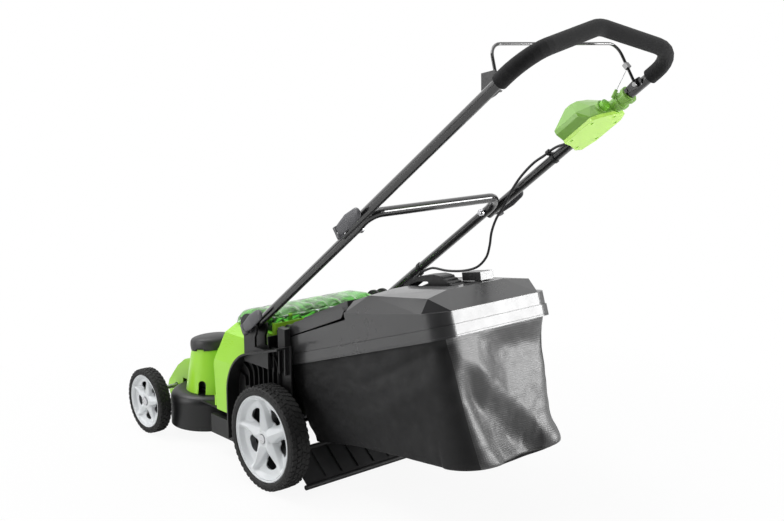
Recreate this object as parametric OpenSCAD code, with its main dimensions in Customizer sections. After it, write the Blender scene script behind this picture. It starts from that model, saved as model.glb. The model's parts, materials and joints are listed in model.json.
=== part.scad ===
// Cordless push lawn mower with a rear grass bag, two cutting blades and a folding handle.
// Millimetres. +Z up, the machine travels towards -Y, its left side is +X.
// Every module below is drawn with y = 0 at the rear axle; in_place() then moves it so that
// the origin lies on the ground at the middle of the machine's footprint.

/* [Wheels] */
// Diameter of a rear wheel
rear_wheel_d = 254; // [230:1:305]
// Diameter of a front wheel
front_wheel_d = 178; // [160:1:205]
// Width of a rear tyre
rear_tyre_w = 56; // [46:1:60]
// Width of a front tyre
front_tyre_w = 38; // [30:1:40]
// Distance from the front axle to the rear axle
wheelbase = 546; // [540:1:600]
// Distance between the outer faces of the rear wheels
rear_track = 542; // [540:1:580]
// Distance between the outer faces of the front wheels
front_track = 550; // [546:1:590]
// Diameter of the axle rods
axle_d = 12; // [10:0.5:14]

/* [Deck] */
// Sideways distance of each blade spindle from the middle
spindle_x = 124; // [118:1:130]
// Distance from the front axle back to the blade spindles
spindle_back = 96; // [94:1:104]
// Outer radius of a blade housing
housing_r = 106; // [100:1:108]
// Height of the deck's lower edge above the ground
deck_low = 30; // [24:1:44]
// Height of the deck's top plate above the ground
deck_top = 124; // [118:1:130]
// Thickness of the moulded plastic walls
wall = 4; // [3:0.5:5]
// Length of a cutting blade
blade_len = 198; // [180:1:200]

/* [Handle] */
// Outer diameter of the handle tubes
tube_d = 22; // [19:0.5:24]
// Wall thickness of the handle tubes
tube_wall = 1.5; // [1.2:0.1:2]
// Angle of the handle above the ground
handle_angle = 36.8; // [32:0.2:42]
// Sideways distance of the lower tubes from the middle
lower_x = 201; // [200:1:206]
// Length along the lower tube from the deck pivot to the fold bolt
fold_s = 480; // [440:1:500]
// Length along the handle from the deck pivot to the grip's corners
grip_s = 1105; // [1040:1:1160]
// Diameter of the foam grip
foam_d = 33; // [28:1:36]

/* [Grass bag] */
// Half the width of the bag's rigid lid
bag_half = 177; // [150:1:178]
// Length of the bag's lid along its rim
bag_len = 562; // [520:1:600]
// Upward slope of the bag's rim towards the rear
bag_angle = 17.8; // [15:0.2:20]
// Depth of the bag's fabric below its rim at the rear
bag_deep = 312; // [260:1:330]

/* [Hidden] */
$fn = 64;
run_gap = 0.06;   // radial clearance of a pin that turns in its bore
part_gap = 0.4;   // clearance between neighbouring mouldings

rear_r = rear_wheel_d / 2;
front_r = front_wheel_d / 2;
axle_r = axle_d / 2;
tube_r = tube_d / 2;
foam_r = foam_d / 2;
rear_out = rear_track / 2;
front_out = front_track / 2;
rear_in = rear_out - rear_tyre_w;
front_in = front_out - front_tyre_w;
upper_x = lower_x + tube_d + 1;

crank_y = 52;     // reach of an axle crank
crank_z = 7;      // height of a crank's shaft over its wheel centre
arm_up = 40;      // length of a crank's control arm
arm_w = 5;        // thickness of a crank arm
rear_shaft = [-crank_y, rear_r + crank_z];
front_shaft = [-wheelbase - crank_y, front_r + crank_z];
link_x = -(rear_in - 10.8);
lever_f = 0.53;   // place of the height lever along the link, from the rear

spindle_y = -wheelbase + spindle_back;
chute_y = spindle_y + 50;     // front end of the grass chute
block_y = spindle_y + 160;    // front of the shroud's rear block
fender_front = -196;
fender_r = 125;
fender_x0 = rear_in - 19;
fender_x1 = rear_in + 20;
fender_slope = 15.5;
fender_back = 30;

pivot_y = -112;
pivot_z = 368;
bolt_r = 4;
ear_t = 6;
front_y = -wheelbase - 100;
shield_pin = [30, 86];
shield_tip = [106, 24];
shield_wide = rear_in - 4;
door_pin = [-50, 368];
bag_y = -26;
bag_z = 310;
cover_half = 165;
tower_shift = [-6, 14];   // offset of a motor tower from its spindle, outwards and rearwards
cap_tilt = 8;     // forward slope of the motor caps
cover_pin = [-86, 390];

function unit(v) = v / norm(v);
function handle_pt(x, s, h) = [x, pivot_y + s * cos(handle_angle) - h * sin(handle_angle),
                               pivot_z + s * sin(handle_angle) + h * cos(handle_angle)];
rear_y = handle_pt(0, grip_s, 0).y + foam_r - 3;
mid_y = (front_y + rear_y) / 2;

// ---------- helpers

// Moves a piece from the rear-axle frame to the part's own frame.
module in_place() {
    translate([0, -mid_y, 0]) children();
}

// The handle's frame: x sideways, y along the tubes from the deck pivot, z square to them.
module on_handle() {
    in_place() translate([0, pivot_y, pivot_z]) rotate([handle_angle, 0, 0]) children();
}

// The bag's frame: y along its rim from the front, z square to the rim plane.
module on_bag() {
    in_place() translate([0, bag_y, bag_z]) rotate([bag_angle, 0, 0]) children();
}

// Stands children on point a, with their z axis towards point b.
module towards(a, b) {
    v = b - a;
    translate(a) rotate([0, acos(v.z / norm(v)), atan2(v.y, v.x)]) children();
}

module rod(a, b, r) {
    towards(a, b) cylinder(h = norm(b - a), r = r);
}

// A shape drawn in the YZ plane, extruded sideways from x0 to x1.
module side_extrude(x0, x1) {
    translate([x0, 0, 0]) rotate([90, 0, 90]) linear_extrude(x1 - x0) children();
}

// A cylinder along X.
module x_cyl(x0, x1, p, r) {
    translate([x0, p[0], p[1]]) rotate([0, 90, 0]) cylinder(h = x1 - x0, r = r);
}

module both_sides() {
    children();
    mirror([1, 0, 0]) children();
}

// The route of a bent tube through pts as [place, direction] pairs; bends[i] is the bend radius
// at pts[i], and every bend gets the same number of steps.
function route(pts, bends, steps) = let (
    last = len(pts) - 1,
    dir = [for (i = [0:last - 1]) unit(pts[i + 1] - pts[i])])
    [for (i = [0:last]) for (e = i == 0 ? [[pts[0], dir[0]]] : i == last ? [[pts[last], dir[last - 1]]]
        : arc_points(pts[i], dir[i - 1], dir[i], bends[i], steps)) e];
function arc_points(p, u, w, bend, steps) = let (
    turn = acos(u * w),
    n = unit(w - (w * u) * u),
    c = p - u * bend * tan(turn / 2) + n * bend)
    [for (k = [0:steps]) let (a = turn * k / steps)
        [c + bend * (u * sin(a) - n * cos(a)), u * cos(a) + n * sin(a)]];

// Directions square to the route, carried along it without twist.
function carried(path, u, i = 0) = i == len(path) ? [] : let (d = path[i][1], v = unit(u - (u * d) * d))
    concat([v], carried(path, v, i + 1));

// A round bar of radius r swept along a route, with n sides.
module sweep(path, r, n) {
    last = len(path) - 1;
    first = path[0][1];
    side = carried(path, abs(first.z) > 0.9 ? [1, 0, 0] : [0, 0, 1]);
    rings = [for (i = [0:last]) let (w = cross(path[i][1], side[i])) for (k = [0:n - 1])
        path[i][0] + r * (cos(k * 360 / n) * side[i] + sin(k * 360 / n) * w)];
    faces = concat(
        [for (i = [0:last - 1]) for (k = [0:n - 1])
            [i * n + k, (i + 1) * n + k, (i + 1) * n + (k + 1) % n, i * n + (k + 1) % n]],
        [[for (k = [0:n - 1]) k]],
        [[for (k = [0:n - 1]) last * n + n - 1 - k]]);
    polyhedron(rings, faces);
}

// A bent tube through pts, or a bent bar when the bore is 0.
module bent_tube(pts, bends, r, bore, n = 28, steps = 7) {
    path = route(pts, bends, steps);
    last = len(path) - 1;
    longer = [for (i = [0:last]) [path[i][0] + (i == 0 ? -2 : i == last ? 2 : 0) * path[i][1], path[i][1]]];
    if (bore > 0) difference() {
        sweep(path, r, n);
        sweep(longer, bore, n);
    }
    else sweep(path, r, n);
}

// ---------- deck

// Side outline of a wheel arch, drawn inset by g.
module arch_outline(g) {
    cy = fender_front + fender_r;
    cz = 190;
    top_y = cy - (fender_r - g) * sin(fender_slope);
    top_z = cz + (fender_r - g) * cos(fender_slope);
    intersection() {
        translate([cy, cz]) circle(fender_r - g);
        translate([fender_front - 10, 0]) square([fender_back + 10 - fender_front, 500]);
    }
    polygon([[fender_front + g, 70], [fender_front + g, cz], [cy, cz], [top_y, top_z],
        [fender_back, top_z + (fender_back - top_y) * tan(fender_slope)], [fender_back, 70]]);
}

module housing_outer() {
    round_r = 24;
    rotate_extrude() {
        square([housing_r - round_r, deck_top]);
        square([housing_r, deck_top - round_r]);
        translate([housing_r - round_r, deck_top - round_r]) circle(round_r);
    }
}

// The discharge passage from the blades up to the bag, drawn inset by g.
module chute_side(g) {
    polygon([[chute_y, deck_low - g], [chute_y, deck_top - 22 - g], [chute_y + 65, deck_top + 4 - g],
        [-52 + g * 2, 302 - g], [-42 + g, 302 - g], [6 + g, 150 + g], [-104, 150 + g],
        [chute_y + 70, deck_low + 2 + g * 2], [chute_y + 70, deck_low - g]]);
}

module fender() {
    rib_n = 9;
    difference() {
        side_extrude(fender_x0, fender_x1) arch_outline(0);
        side_extrude(fender_x0 + wall, fender_x1 + 1) {
            arch_outline(5);
            translate([fender_back - 6, 0]) square([20, 500]);
            translate([fender_front + 5, 0]) square([300, 100]);
        }
        side_extrude(fender_x0 - 1, fender_x1 + 1)
            translate([fender_front + 12, 60]) square([300, 40]);
        x_cyl(fender_x0 - 1, fender_x0 + wall + 1, rear_shaft, axle_r + run_gap);
    }
    // upright ribs on the arch's inner wall
    for (i = [0:rib_n - 1]) intersection() {
        side_extrude(fender_x0 + wall - 1, rear_in - 6) arch_outline(3);
        translate([0, -145 + i * 23, rear_wheel_d + 22]) cube([400, 4, 200]);
    }
}

// The uprights that carry the handle's pivots.
module handle_ear() {
    foot = 282;
    for (x = [lower_x - tube_r - 1 - ear_t, lower_x + tube_r + 1])
        difference() {
            union() {
                x_cyl(x, x + ear_t, [pivot_y - 3, pivot_z + 3], 33);
                translate([x, pivot_y - 23, foot]) cube([ear_t, 46, pivot_z - foot]);
                translate([x, pivot_y - 23, foot]) cube([ear_t, 100, 44]);
            }
            x_cyl(x - 1, x + ear_t + 1, [pivot_y, pivot_z], bolt_r + run_gap);
        }
    // web that joins the two ears below the tube
    translate([lower_x - tube_r - 1 - ear_t, pivot_y - 23, foot])
        cube([tube_d + 2 + 2 * ear_t, 100, 30]);
}

module deck() {
    color([0.12, 0.12, 0.13]) in_place() difference() {
        union() {
            for (s = [-1, 1]) translate([s * spindle_x, spindle_y, 0]) housing_outer();
            translate([-spindle_x, spindle_y - 95, deck_low]) cube([2 * spindle_x, 190, 84]);
            side_extrude(-122, 122) chute_side(0);
            // plate between the housings and the wheel arches
            translate([-fender_x0, spindle_y + 70, deck_top - 12])
                cube([2 * fender_x0, -66 - spindle_y - 70, wall]);
            // rear bulkhead that carries the door and the handle uprights
            translate([-fender_x0, -68, 150]) cube([2 * fender_x0, wall, 202]);
            both_sides() {
                fender();
                handle_ear();
                // lower skirt between a housing and its wheel arch
                translate([fender_x0 - 8, -305, 52]) cube([25, 111, 50]);
                // post between the wheel arch and the grass bag
                translate([fender_x0 - 15, -24, 140]) cube([16, 28, 243]);
                // lugs for the front axle
                translate([100, front_shaft[0] - 14, front_shaft[1] - 16]) cube([12, 66, 28]);
                // lugs for the trailing shield
                side_extrude(176, 183) polygon([[-96, 116], [-96, 100], [-50, 84], [22, 80], [38, 84],
                    [38, 94], [-40, 100], [-60, 116]]);
                x_cyl(176, 183, shield_pin, 9);
                // hinge lugs of the rear door
                translate([160, -68, 338]) cube([8, 22, 26]);
                x_cyl(160, 168, door_pin, 8);
            }
            // post that carries the height lever
            x_cyl(link_x - 4.1, -fender_x0 + 20, lever_pin(), 11);
            // gland where the cable enters
            translate([-179.5, -66, 330]) cylinder(h = 22.8, r = 4.5);
        }
        for (s = [-1, 1]) translate([s * spindle_x, spindle_y, 0]) {
            translate([0, 0, -1]) cylinder(h = deck_low + 1, r = housing_r + 1);
            translate([0, 0, deck_low - 1]) cylinder(h = deck_top - 24 - deck_low, r = housing_r - wall);
            translate([0, 0, deck_top - 26]) cylinder(h = 26 - wall, r = housing_r - 24);
            cylinder(h = deck_top + 1, r = 14);
        }
        translate([-spindle_x, spindle_y - 91, deck_low - 1]) cube([2 * spindle_x, 182, 80]);
        side_extrude(-118, 118) chute_side(wall);
        both_sides() {
            x_cyl(90, 120, front_shaft, axle_r + run_gap);
            x_cyl(170, 190, shield_pin, 3 + run_gap);
            x_cyl(150, 178, door_pin, 3 + run_gap);
        }
        x_cyl(link_x - 5, -fender_x0 + 10, lever_pin(), bolt_r + run_gap);
        // slot that lets the height link through the wheel arch
        translate([link_x - 6, fender_front - 1, 142]) cube([8.5, 8, 38]);
    }
}

// ---------- shroud over the motors and the battery bay

function block_side(g) = [[block_y + g, g > 0 ? 90 : deck_top - 7.6], [block_y - 10 + g, 238],
    [-253 + g, 348 - g], [-152 - g, 348 - g],
    [-152 - g, 322], [-167 - g, 285], [-192 - g, 248], [-201 - g, 215],
    [-201 - g, g > 0 ? 90 : deck_top - 7.6]];
function nose_side(g) = [[block_y, g > 0 ? 40 : deck_top + 2], [front_y + 84, g > 0 ? 40 : deck_top + 2],
    [front_y + 84, g > 0 ? 40 : 62], [front_y + 12 + g, g > 0 ? 40 : 62], [front_y + g, 84],
    [front_y + 8 + g, 104 - g * 0.3], [front_y + 28 + g, 126 - g * 0.6], [front_y + 58, 157 - g],
    [front_y + 97, 183 - g], [front_y + 176, 205 - g], [block_y, 240 - g]];
low_r = 76;       // radius of a motor tower at its foot
high_r = 56;      // and at its top
tower_h = 124;

module tower_place(side) {
    translate([side * (spindle_x + tower_shift[0]), spindle_y + tower_shift[1], deck_top + 0.4]) children();
}

// Everything above a tower's sloping top.
module above_tower(lift) {
    translate([0, 0, tower_h + lift]) rotate([cap_tilt, 0, 0]) translate([-150, -150, 0]) cube([300, 300, 150]);
}

module shroud_outer(g) {
    intersection() {
        side_extrude(-204 + g, 204 - g) polygon(block_side(g));
        rotate([90, 0, 0]) translate([0, 0, 100]) linear_extrude(400)
            polygon([[-206 + g, 0], [206 - g, 0], [206 - g, 240], [190 - g, 325 - g], [158, 348 - g],
                [-158, 348 - g], [-190 + g, 325 - g], [-206 + g, 240]]);
    }
    translate([-165 + g, -204, 132 - g * 4]) cube([2 * (165 - g), 204 - 76 - g, 216 - g + g * 4]);
    side_extrude(-140 + g, 140 - g) polygon(nose_side(g));
    for (s = [-1, 1]) tower_place(s) difference() {
        translate([0, 0, -g]) cylinder(h = 150, r1 = low_r - g, r2 = high_r - 4 - g);
        above_tower(-g);
    }
}

module shroud() {
    skin = 3;
    bay_floor = 312;
    notch_turn = 31;
    color([0.6, 0.9, 0.15]) in_place() difference() {
        union() {
            difference() {
                shroud_outer(0);
                shroud_outer(skin);
            }
            // battery bay with the socket of the safety key
            translate([-153, -241, bay_floor]) cube([306, 156, 345.5 - bay_floor]);
            // raised rear wall that carries the cover's hinge
            translate([-cover_half, -91, 340]) cube([2 * cover_half, 13, 37]);
            for (x = [-120, 110]) {
                x_cyl(x, x + 10, cover_pin, 4.2);
                side_extrude(x, x + 10) polygon([[-90, 376], [-82.4, 376], [-82.4, 390], [-90, 390]]);
            }
            // screw bosses beside the motor towers
            both_sides() translate([196, block_y - 9, deck_top]) cylinder(h = 26, r = 7);
        }
        difference() {
            translate([-150, -238, bay_floor + skin]) cube([300, 147, 60]);
            translate([-8, -233, bay_floor]) cube([16, 20, 36]);
        }
        x_cyl(-130, 130, cover_pin, 2.5 + run_gap);
        // arched notch in each motor tower
        for (s = [-1, 1]) tower_place(s) rotate([0, 0, s > 0 ? notch_turn : 180 - notch_turn]) {
            translate([56, -11, -1]) cube([40, 22, 26]);
            translate([56, 0, 25]) rotate([0, 90, 0]) cylinder(h = 40, r = 11);
        }
        // ways through for the front axle and the grass
        x_cyl(-150, 150, front_shaft, axle_r + 3);
        side_extrude(-122 - part_gap, 122 + part_gap) chute_side(-part_gap);
    }
}

// Domed, vented cap on a motor tower; side is 1 on the left and -1 on the right.
module motor_cap(side) {
    cap_r = 60;
    color([0.25, 0.25, 0.27]) in_place() tower_place(side) difference() {
        translate([0, 0, tower_h]) rotate([cap_tilt, 0, 0]) difference() {
            union() {
                translate([0, 0, -13]) cylinder(h = 26, r = cap_r);
                translate([0, 0, 13]) cylinder(h = 9, r1 = cap_r, r2 = cap_r - 9);
                translate([0, 0, 22]) cylinder(h = 4, r1 = cap_r - 9, r2 = cap_r - 24);
            }
            // notches in the skirt
            for (a = [0:60:359]) rotate([0, 0, a + 20]) translate([cap_r - 12, -12, -14]) cube([20, 24, 8]);
            // vent slots
            for (a = [0:30:359]) rotate([0, 0, a]) translate([24, -2, 12]) cube([20, 4, 20]);
            translate([0, 0, 0.3]) cylinder(h = 16, r = cap_r - 16);
        }
        difference() {
            translate([0, 0, -1]) cylinder(h = 151, r1 = low_r + 0.8, r2 = high_r - 3.2);
            above_tower(0.3);
        }
    }
}
module motor_cap_left() { motor_cap(1); }
module motor_cap_right() { motor_cap(-1); }

function cover_side(g) = [[-250 + g, 348.5 - g * 3], [-246 + g, 366], [-226 + g * 0.7, 384 - g],
    [-168, 401 - g], [-100, 406 - g], [-84 - g, 399 - g], [-79.5 - g, 379.4 - g * 3],
    [-91.6, 379.4 - g * 3], [-91.6, 348.5 - g * 3]];

module battery_cover() {
    skin = 2.5;
    color([0.45, 0.95, 0.35, 0.5]) in_place() difference() {
        side_extrude(-cover_half, cover_half) polygon(cover_side(0));
        side_extrude(-cover_half + skin, cover_half - skin) polygon(cover_side(skin));
        x_cyl(-cover_half - 1, cover_half + 1, cover_pin, 2.5 + run_gap);
        // notches for the hinge posts
        for (x = [-123, 107]) translate([x, -93, 370]) cube([16, 20, 24.6]);
    }
}

// A battery pack; side is 1 on the left and -1 on the right.
module battery(side) {
    w = 124;
    color([0.1, 0.25, 0.12]) in_place() translate([side * 73 - w / 2, -232, 315.4]) {
        translate([0, 4, 0]) cube([w, 128, 46]);
        translate([6, 20, 46]) cube([w - 12, 96, 16]);
        for (x = [12, w - 26]) translate([x, 28, 62]) cube([14, 78, 6]);
    }
}
module battery_left() { battery(1); }
module battery_right() { battery(-1); }

module safety_key() {
    color("red") in_place() translate([0, -226, 348.6]) {
        translate([-9, 0, 0]) cube([18, 10, 4]);
        translate([-3, 2, 4]) cube([6, 6, 10]);
    }
}

module controller_board() {
    color([0.05, 0.35, 0.15]) in_place() translate([134, block_y + 7, deck_top - 12 + wall]) {
        translate([0, 0, 14]) cube([54, 76, 2]);
        for (i = [0:2]) translate([6, 10 + i * 22, 16]) cube([16, 14, 18]);
        for (i = [0:2]) translate([40, 14 + i * 22, 16]) cylinder(h = 22, r = 8);
        for (x = [5, 49]) for (y = [5, 71]) translate([x, y, 0]) cylinder(h = 14, r = 3);
    }
}

// ---------- motors and blades

module motor(side) {
    color([0.55, 0.55, 0.58]) in_place() translate([side * spindle_x, spindle_y, deck_top])
        difference() {
            union() {
                cylinder(h = 6, r = 48);
                cylinder(h = 92, r = 40);
                translate([0, 0, 92]) cylinder(h = 8, r = 20);
            }
            translate([0, 0, -1]) cylinder(h = 90, r = 6 + run_gap);
            for (a = [0:60:359]) rotate([0, 0, a]) translate([35, -6, 20]) cube([10, 12, 56]);
        }
}
module motor_left() { motor(1); }
module motor_right() { motor(-1); }

blade_z = 54;     // height of a blade over the ground

module rotor(side) {
    color([0.7, 0.7, 0.72]) in_place() translate([side * spindle_x, spindle_y, 0]) {
        translate([0, 0, blade_z + 4]) cylinder(h = 8, r = 22);
        translate([0, 0, blade_z + 12]) cylinder(h = deck_top + 80 - blade_z - 12, r = 6);
        // blade bolt with its washer
        translate([0, 0, blade_z - 3]) cylinder(h = 3, r = 14);
        translate([0, 0, blade_z - 11]) cylinder(h = 8, r = 9.5, $fn = 6);
        translate([0, 0, blade_z - 0.5]) cylinder(h = 4.6, r = 5);
    }
}
module rotor_left() { rotor(1); }
module rotor_right() { rotor(-1); }

module blade(side) {
    half = blade_len / 2;
    color([0.3, 0.3, 0.32]) in_place() translate([side * spindle_x, spindle_y, blade_z]) difference() {
        union() {
            translate([-half, -23, 0]) cube([blade_len, 46, 4]);
            // raised sails at the trailing corners
            for (a = [0, 180]) rotate([0, 0, a]) translate([half - 62, 9, 3.9]) cube([62, 14, 12]);
        }
        translate([0, 0, -1]) cylinder(h = 6, r = 5.1);
        // cutting tips
        for (a = [0, 180]) rotate([0, 0, a]) translate([half - 66, -24, 2]) rotate([25, 0, 0]) cube([70, 12, 6]);
        // clipped corners keep the swing inside the housing
        for (a = [0, 180]) rotate([0, 0, a]) translate([half - 4, 14, -1]) rotate([0, 0, 45]) cube([30, 30, 20]);
    }
}
module blade_left() { blade(1); }
module blade_right() { blade(-1); }

// ---------- axles, height adjustment and wheels

// One cranked axle: shaft in the deck, an arm at each end and a stub for each wheel.
module crank(shaft, wheel, span, inner, outer) {
    difference() {
        union() {
            x_cyl(-span, span, shaft, axle_r);
            both_sides() {
                x_cyl(span - arm_w, span, shaft, 11);
                x_cyl(span - arm_w, span, wheel, 11);
                side_extrude(span - arm_w, span) polygon([[shaft[0], shaft[1] - 9], [wheel[0], wheel[1] - 9],
                    [wheel[0], wheel[1] + 9], [shaft[0], shaft[1] + 9]]);
                x_cyl(span, outer, wheel, axle_r);
            }
            // control arm on the right side
            side_extrude(link_x, link_x + 3.6)
                translate([shaft[0] - 7, shaft[1]]) square([14, arm_up]);
            x_cyl(link_x, link_x + 3.6, shaft, 11);
            x_cyl(link_x, link_x + 3.6, [shaft[0], shaft[1] + arm_up], 7);
            x_cyl(link_x - 4, link_x + 1, [shaft[0], shaft[1] + arm_up], 3);
        }
    }
}

module front_axle() {
    color([0.5, 0.5, 0.52]) in_place()
        crank(front_shaft, [-wheelbase, front_r], front_in - 3, front_in, front_out - 7);
}
module rear_axle() {
    color([0.5, 0.5, 0.52]) in_place()
        crank(rear_shaft, [0, rear_r], rear_in - 3, rear_in, rear_out - 9);
}

module axle_nuts(p, x) {
    both_sides() x_cyl(x, x + 5, p, axle_r + 5);
}
module axle_nuts_front() {
    color([0.75, 0.75, 0.77]) in_place() axle_nuts([-wheelbase, front_r], front_out - 7);
}
module axle_nuts_rear() {
    color([0.75, 0.75, 0.77]) in_place() axle_nuts([0, rear_r], rear_out - 9);
}

link_a = [front_shaft[0], front_shaft[1] + arm_up];
link_b = [rear_shaft[0], rear_shaft[1] + arm_up];
function lever_joint() = link_b + (link_a - link_b) * lever_f;
function lever_pin() = lever_joint() - [0, arm_up];

module height_link() {
    run = link_a - link_b;
    slope = atan2(run[1], run[0]);
    color([0.6, 0.6, 0.62]) in_place() difference() {
        union() {
            side_extrude(link_x - 3.6, link_x - 0.6)
                translate(link_b) rotate(slope) translate([0, -6]) square([norm(run), 12]);
            for (p = [link_a, link_b, lever_joint()]) x_cyl(link_x - 3.6, link_x - 0.6, p, 9);
        }
        for (p = [link_a, link_b, lever_joint()]) x_cyl(link_x - 5, link_x + 1, p, 3 + run_gap);
    }
}

module height_lever() {
    p = lever_pin();
    reach = 150;
    x0 = link_x - 8;
    color([0.15, 0.15, 0.16]) in_place() {
        x_cyl(x0, x0 + 3.6, p, 11);
        side_extrude(x0, x0 + 3.6) translate([p[0] - 9, p[1]]) square([18, reach]);
        // pins in the link and in the deck's post
        x_cyl(x0 + 3, link_x - 0.4, lever_joint(), 3);
        x_cyl(x0 - 3, x0 + 1, p, 8);
        x_cyl(x0 + 3, -fender_x0 + 9, p, bolt_r);
        // rounded grip at the top
        translate([x0 - 4, p[0], p[1] + reach - 6]) {
            sphere(11);
            cylinder(h = 40, r = 11);
            translate([0, 0, 40]) sphere(11);
        }
    }
}

// A tyre with rounded shoulders, standing at the middle of its wheel, z along the axle.
module tyre_shape(r, rim_r, w) {
    edge = 7;
    rotate_extrude() difference() {
        union() {
            translate([rim_r, -w / 2 + edge]) square([r - rim_r, w - 2 * edge]);
            translate([rim_r, -w / 2]) square([r - rim_r - edge, w]);
            for (z = [-w / 2 + edge, w / 2 - edge]) translate([r - edge, z]) circle(edge);
        }
        // shallow grooves round the tread
        for (z = [-w / 5, 0, w / 5]) translate([r - 2, z - 1.2]) square([4, 2.4]);
    }
}

// A five-spoke rim: barrel, recessed dish with curved windows, and hub.
module rim_shape(rim_r, w) {
    hub_r = 24;
    dish = w / 2 - 14;
    win_in = 32;
    win_out = rim_r - 13;
    difference() {
        union() {
            difference() {
                translate([0, 0, -w / 2 + 2]) cylinder(h = w - 4, r = rim_r - 0.2);
                translate([0, 0, -w / 2 - 1]) cylinder(h = w / 2 + dish, r = rim_r - 5);
                translate([0, 0, dish + 8]) cylinder(h = 30, r1 = rim_r - 9, r2 = rim_r + 4);
            }
            translate([0, 0, -w / 2 + 1]) cylinder(h = w - 6, r = hub_r - 6);
            // thin web that closes the wheel's inner side
            translate([0, 0, -w / 2 + 2]) cylinder(h = 2.5, r = rim_r - 3);
            translate([0, 0, dish - 6]) cylinder(h = 14, r = hub_r);
        }
        // five windows between the spokes
        for (i = [0:4]) translate([0, 0, dish - 9]) rotate_extrude(angle = 50, start = i * 72 - 25)
            translate([win_in, 0]) square([win_out - win_in, 30]);
        translate([0, 0, -w]) cylinder(h = 2 * w, r = axle_r + run_gap);
        // seat for the axle nut
        translate([0, 0, w / 2 - 10]) cylinder(h = 20, r = axle_r + 6);
    }
}

// Stands a wheel piece at its axle; side is 1 on the left and -1 on the right.
module at_rear_wheel(side) {
    in_place() scale([side, 1, 1]) translate([rear_out - rear_tyre_w / 2, 0, rear_r])
        rotate([0, 90, 0]) children();
}
module at_front_wheel(side) {
    in_place() scale([side, 1, 1]) translate([front_out - front_tyre_w / 2, -wheelbase, front_r])
        rotate([0, 90, 0]) children();
}
rear_rim_r = rear_r - 21.4;
front_rim_r = front_r - 16;

module tyre_rear_left() { color([0.13, 0.13, 0.13]) at_rear_wheel(1) tyre_shape(rear_r, rear_rim_r, rear_tyre_w); }
module tyre_rear_right() { color([0.13, 0.13, 0.13]) at_rear_wheel(-1) tyre_shape(rear_r, rear_rim_r, rear_tyre_w); }
module tyre_front_left() { color([0.13, 0.13, 0.13]) at_front_wheel(1) tyre_shape(front_r, front_rim_r, front_tyre_w); }
module tyre_front_right() { color([0.13, 0.13, 0.13]) at_front_wheel(-1) tyre_shape(front_r, front_rim_r, front_tyre_w); }
module rim_rear_left() { color([0.8, 0.82, 0.83]) at_rear_wheel(1) rim_shape(rear_rim_r, rear_tyre_w); }
module rim_rear_right() { color([0.8, 0.82, 0.83]) at_rear_wheel(-1) rim_shape(rear_rim_r, rear_tyre_w); }
module rim_front_left() { color([0.8, 0.82, 0.83]) at_front_wheel(1) rim_shape(front_rim_r, front_tyre_w); }
module rim_front_right() { color([0.8, 0.82, 0.83]) at_front_wheel(-1) rim_shape(front_rim_r, front_tyre_w); }

// ---------- rear door and trailing shield

function door_side(g) = [[-44 + g, 352 - g * 3], [-44 + g, 374 - g], [-8, 382 - g], [14, 400 - g], [194 - g, 467 - g],
    [200 - g, 461 - g], [189 - g, 441 - g * 3], [12, 369 - g * 3], [-12, 359 - g * 3]];
function door_top(g) = [[16, 396 - g], [30, 412 - g], [190 - g, 479 - g], [192 - g, 460 - g]];

module rear_door() {
    half = 175;
    knuckle = 9;
    color([0.22, 0.22, 0.24]) in_place() difference() {
        union() {
            difference() {
                union() {
                    side_extrude(-half, half) polygon(door_side(0));
                    side_extrude(-half + 18, half - 18) polygon(door_top(0));
                }
                side_extrude(-half + wall, half - wall) polygon(door_side(wall));
                side_extrude(-half + 18 + wall, half - 18 - wall) polygon(door_top(wall));
            }
            for (x = [-150, 120]) x_cyl(x, x + 30, door_pin, knuckle);
            for (x = [-150, 120]) translate([x, door_pin[0], door_pin[1] - knuckle]) cube([30, 10, 2 * knuckle]);
        }
        x_cyl(-160, 160, door_pin, 3 + run_gap);
        // seat of the spring
        x_cyl(17, 48, door_pin, 8);
        // room for the hinge lugs on the deck
        for (s = [-1, 1]) translate([s * 164 - 6, -70, 330]) cube([12, 36, 62]);
    }
}

module hinge_rods() {
    color([0.7, 0.7, 0.72]) in_place() {
        x_cyl(-176, 176, door_pin, 3);
        x_cyl(-186, 186, shield_pin, 3);
        x_cyl(-cover_half + 0.5, cover_half - 0.5, cover_pin, 2.5);
    }
}

module door_spring() {
    turns = 9;
    wire = 1.4;
    coil_r = 6.2;
    color([0.6, 0.6, 0.6]) in_place() translate([20, door_pin[0], door_pin[1]]) rotate([0, 90, 0]) {
        rotate_extrude() difference() {
            union() {
                for (i = [0:turns]) translate([coil_r, i * wire * 1.9]) circle(wire);
                translate([coil_r - 0.8, 0]) square([1.6, turns * wire * 1.9]);
            }
        }
        // the leg that bears on the bulkhead
        translate([12, -6.4, 0]) rotate([90, 0, 0]) cylinder(h = 6, r = wire);
        translate([0, -6.4, 0]) rotate([0, 90, 0]) cylinder(h = 12, r = wire);
    }
}

module trail_shield() {
    half = 170;
    along = unit(shield_tip - shield_pin);
    slope = atan2(along[1], along[0]);
    span = norm(shield_tip - shield_pin);
    color([0.09, 0.09, 0.1]) in_place() difference() {
        union() {
            side_extrude(-half, half) translate(shield_pin) rotate(slope) translate([0, -1.5]) square([span - 4, 3]);
            // the panel widens below its lugs
            side_extrude(-shield_wide, shield_wide)
                translate(shield_pin) rotate(slope) translate([26, -1.5]) square([span - 30, 3]);
            x_cyl(-half, half, shield_pin, 6);
            for (i = [0:6]) side_extrude(-150 + i * 50 - 1.5, -150 + i * 50 + 1.5)
                translate(shield_pin) rotate(slope) translate([8, 0]) square([span - 20, 5]);
        }
        x_cyl(-half - 1, half + 1, shield_pin, 3 + run_gap);
    }
}

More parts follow.
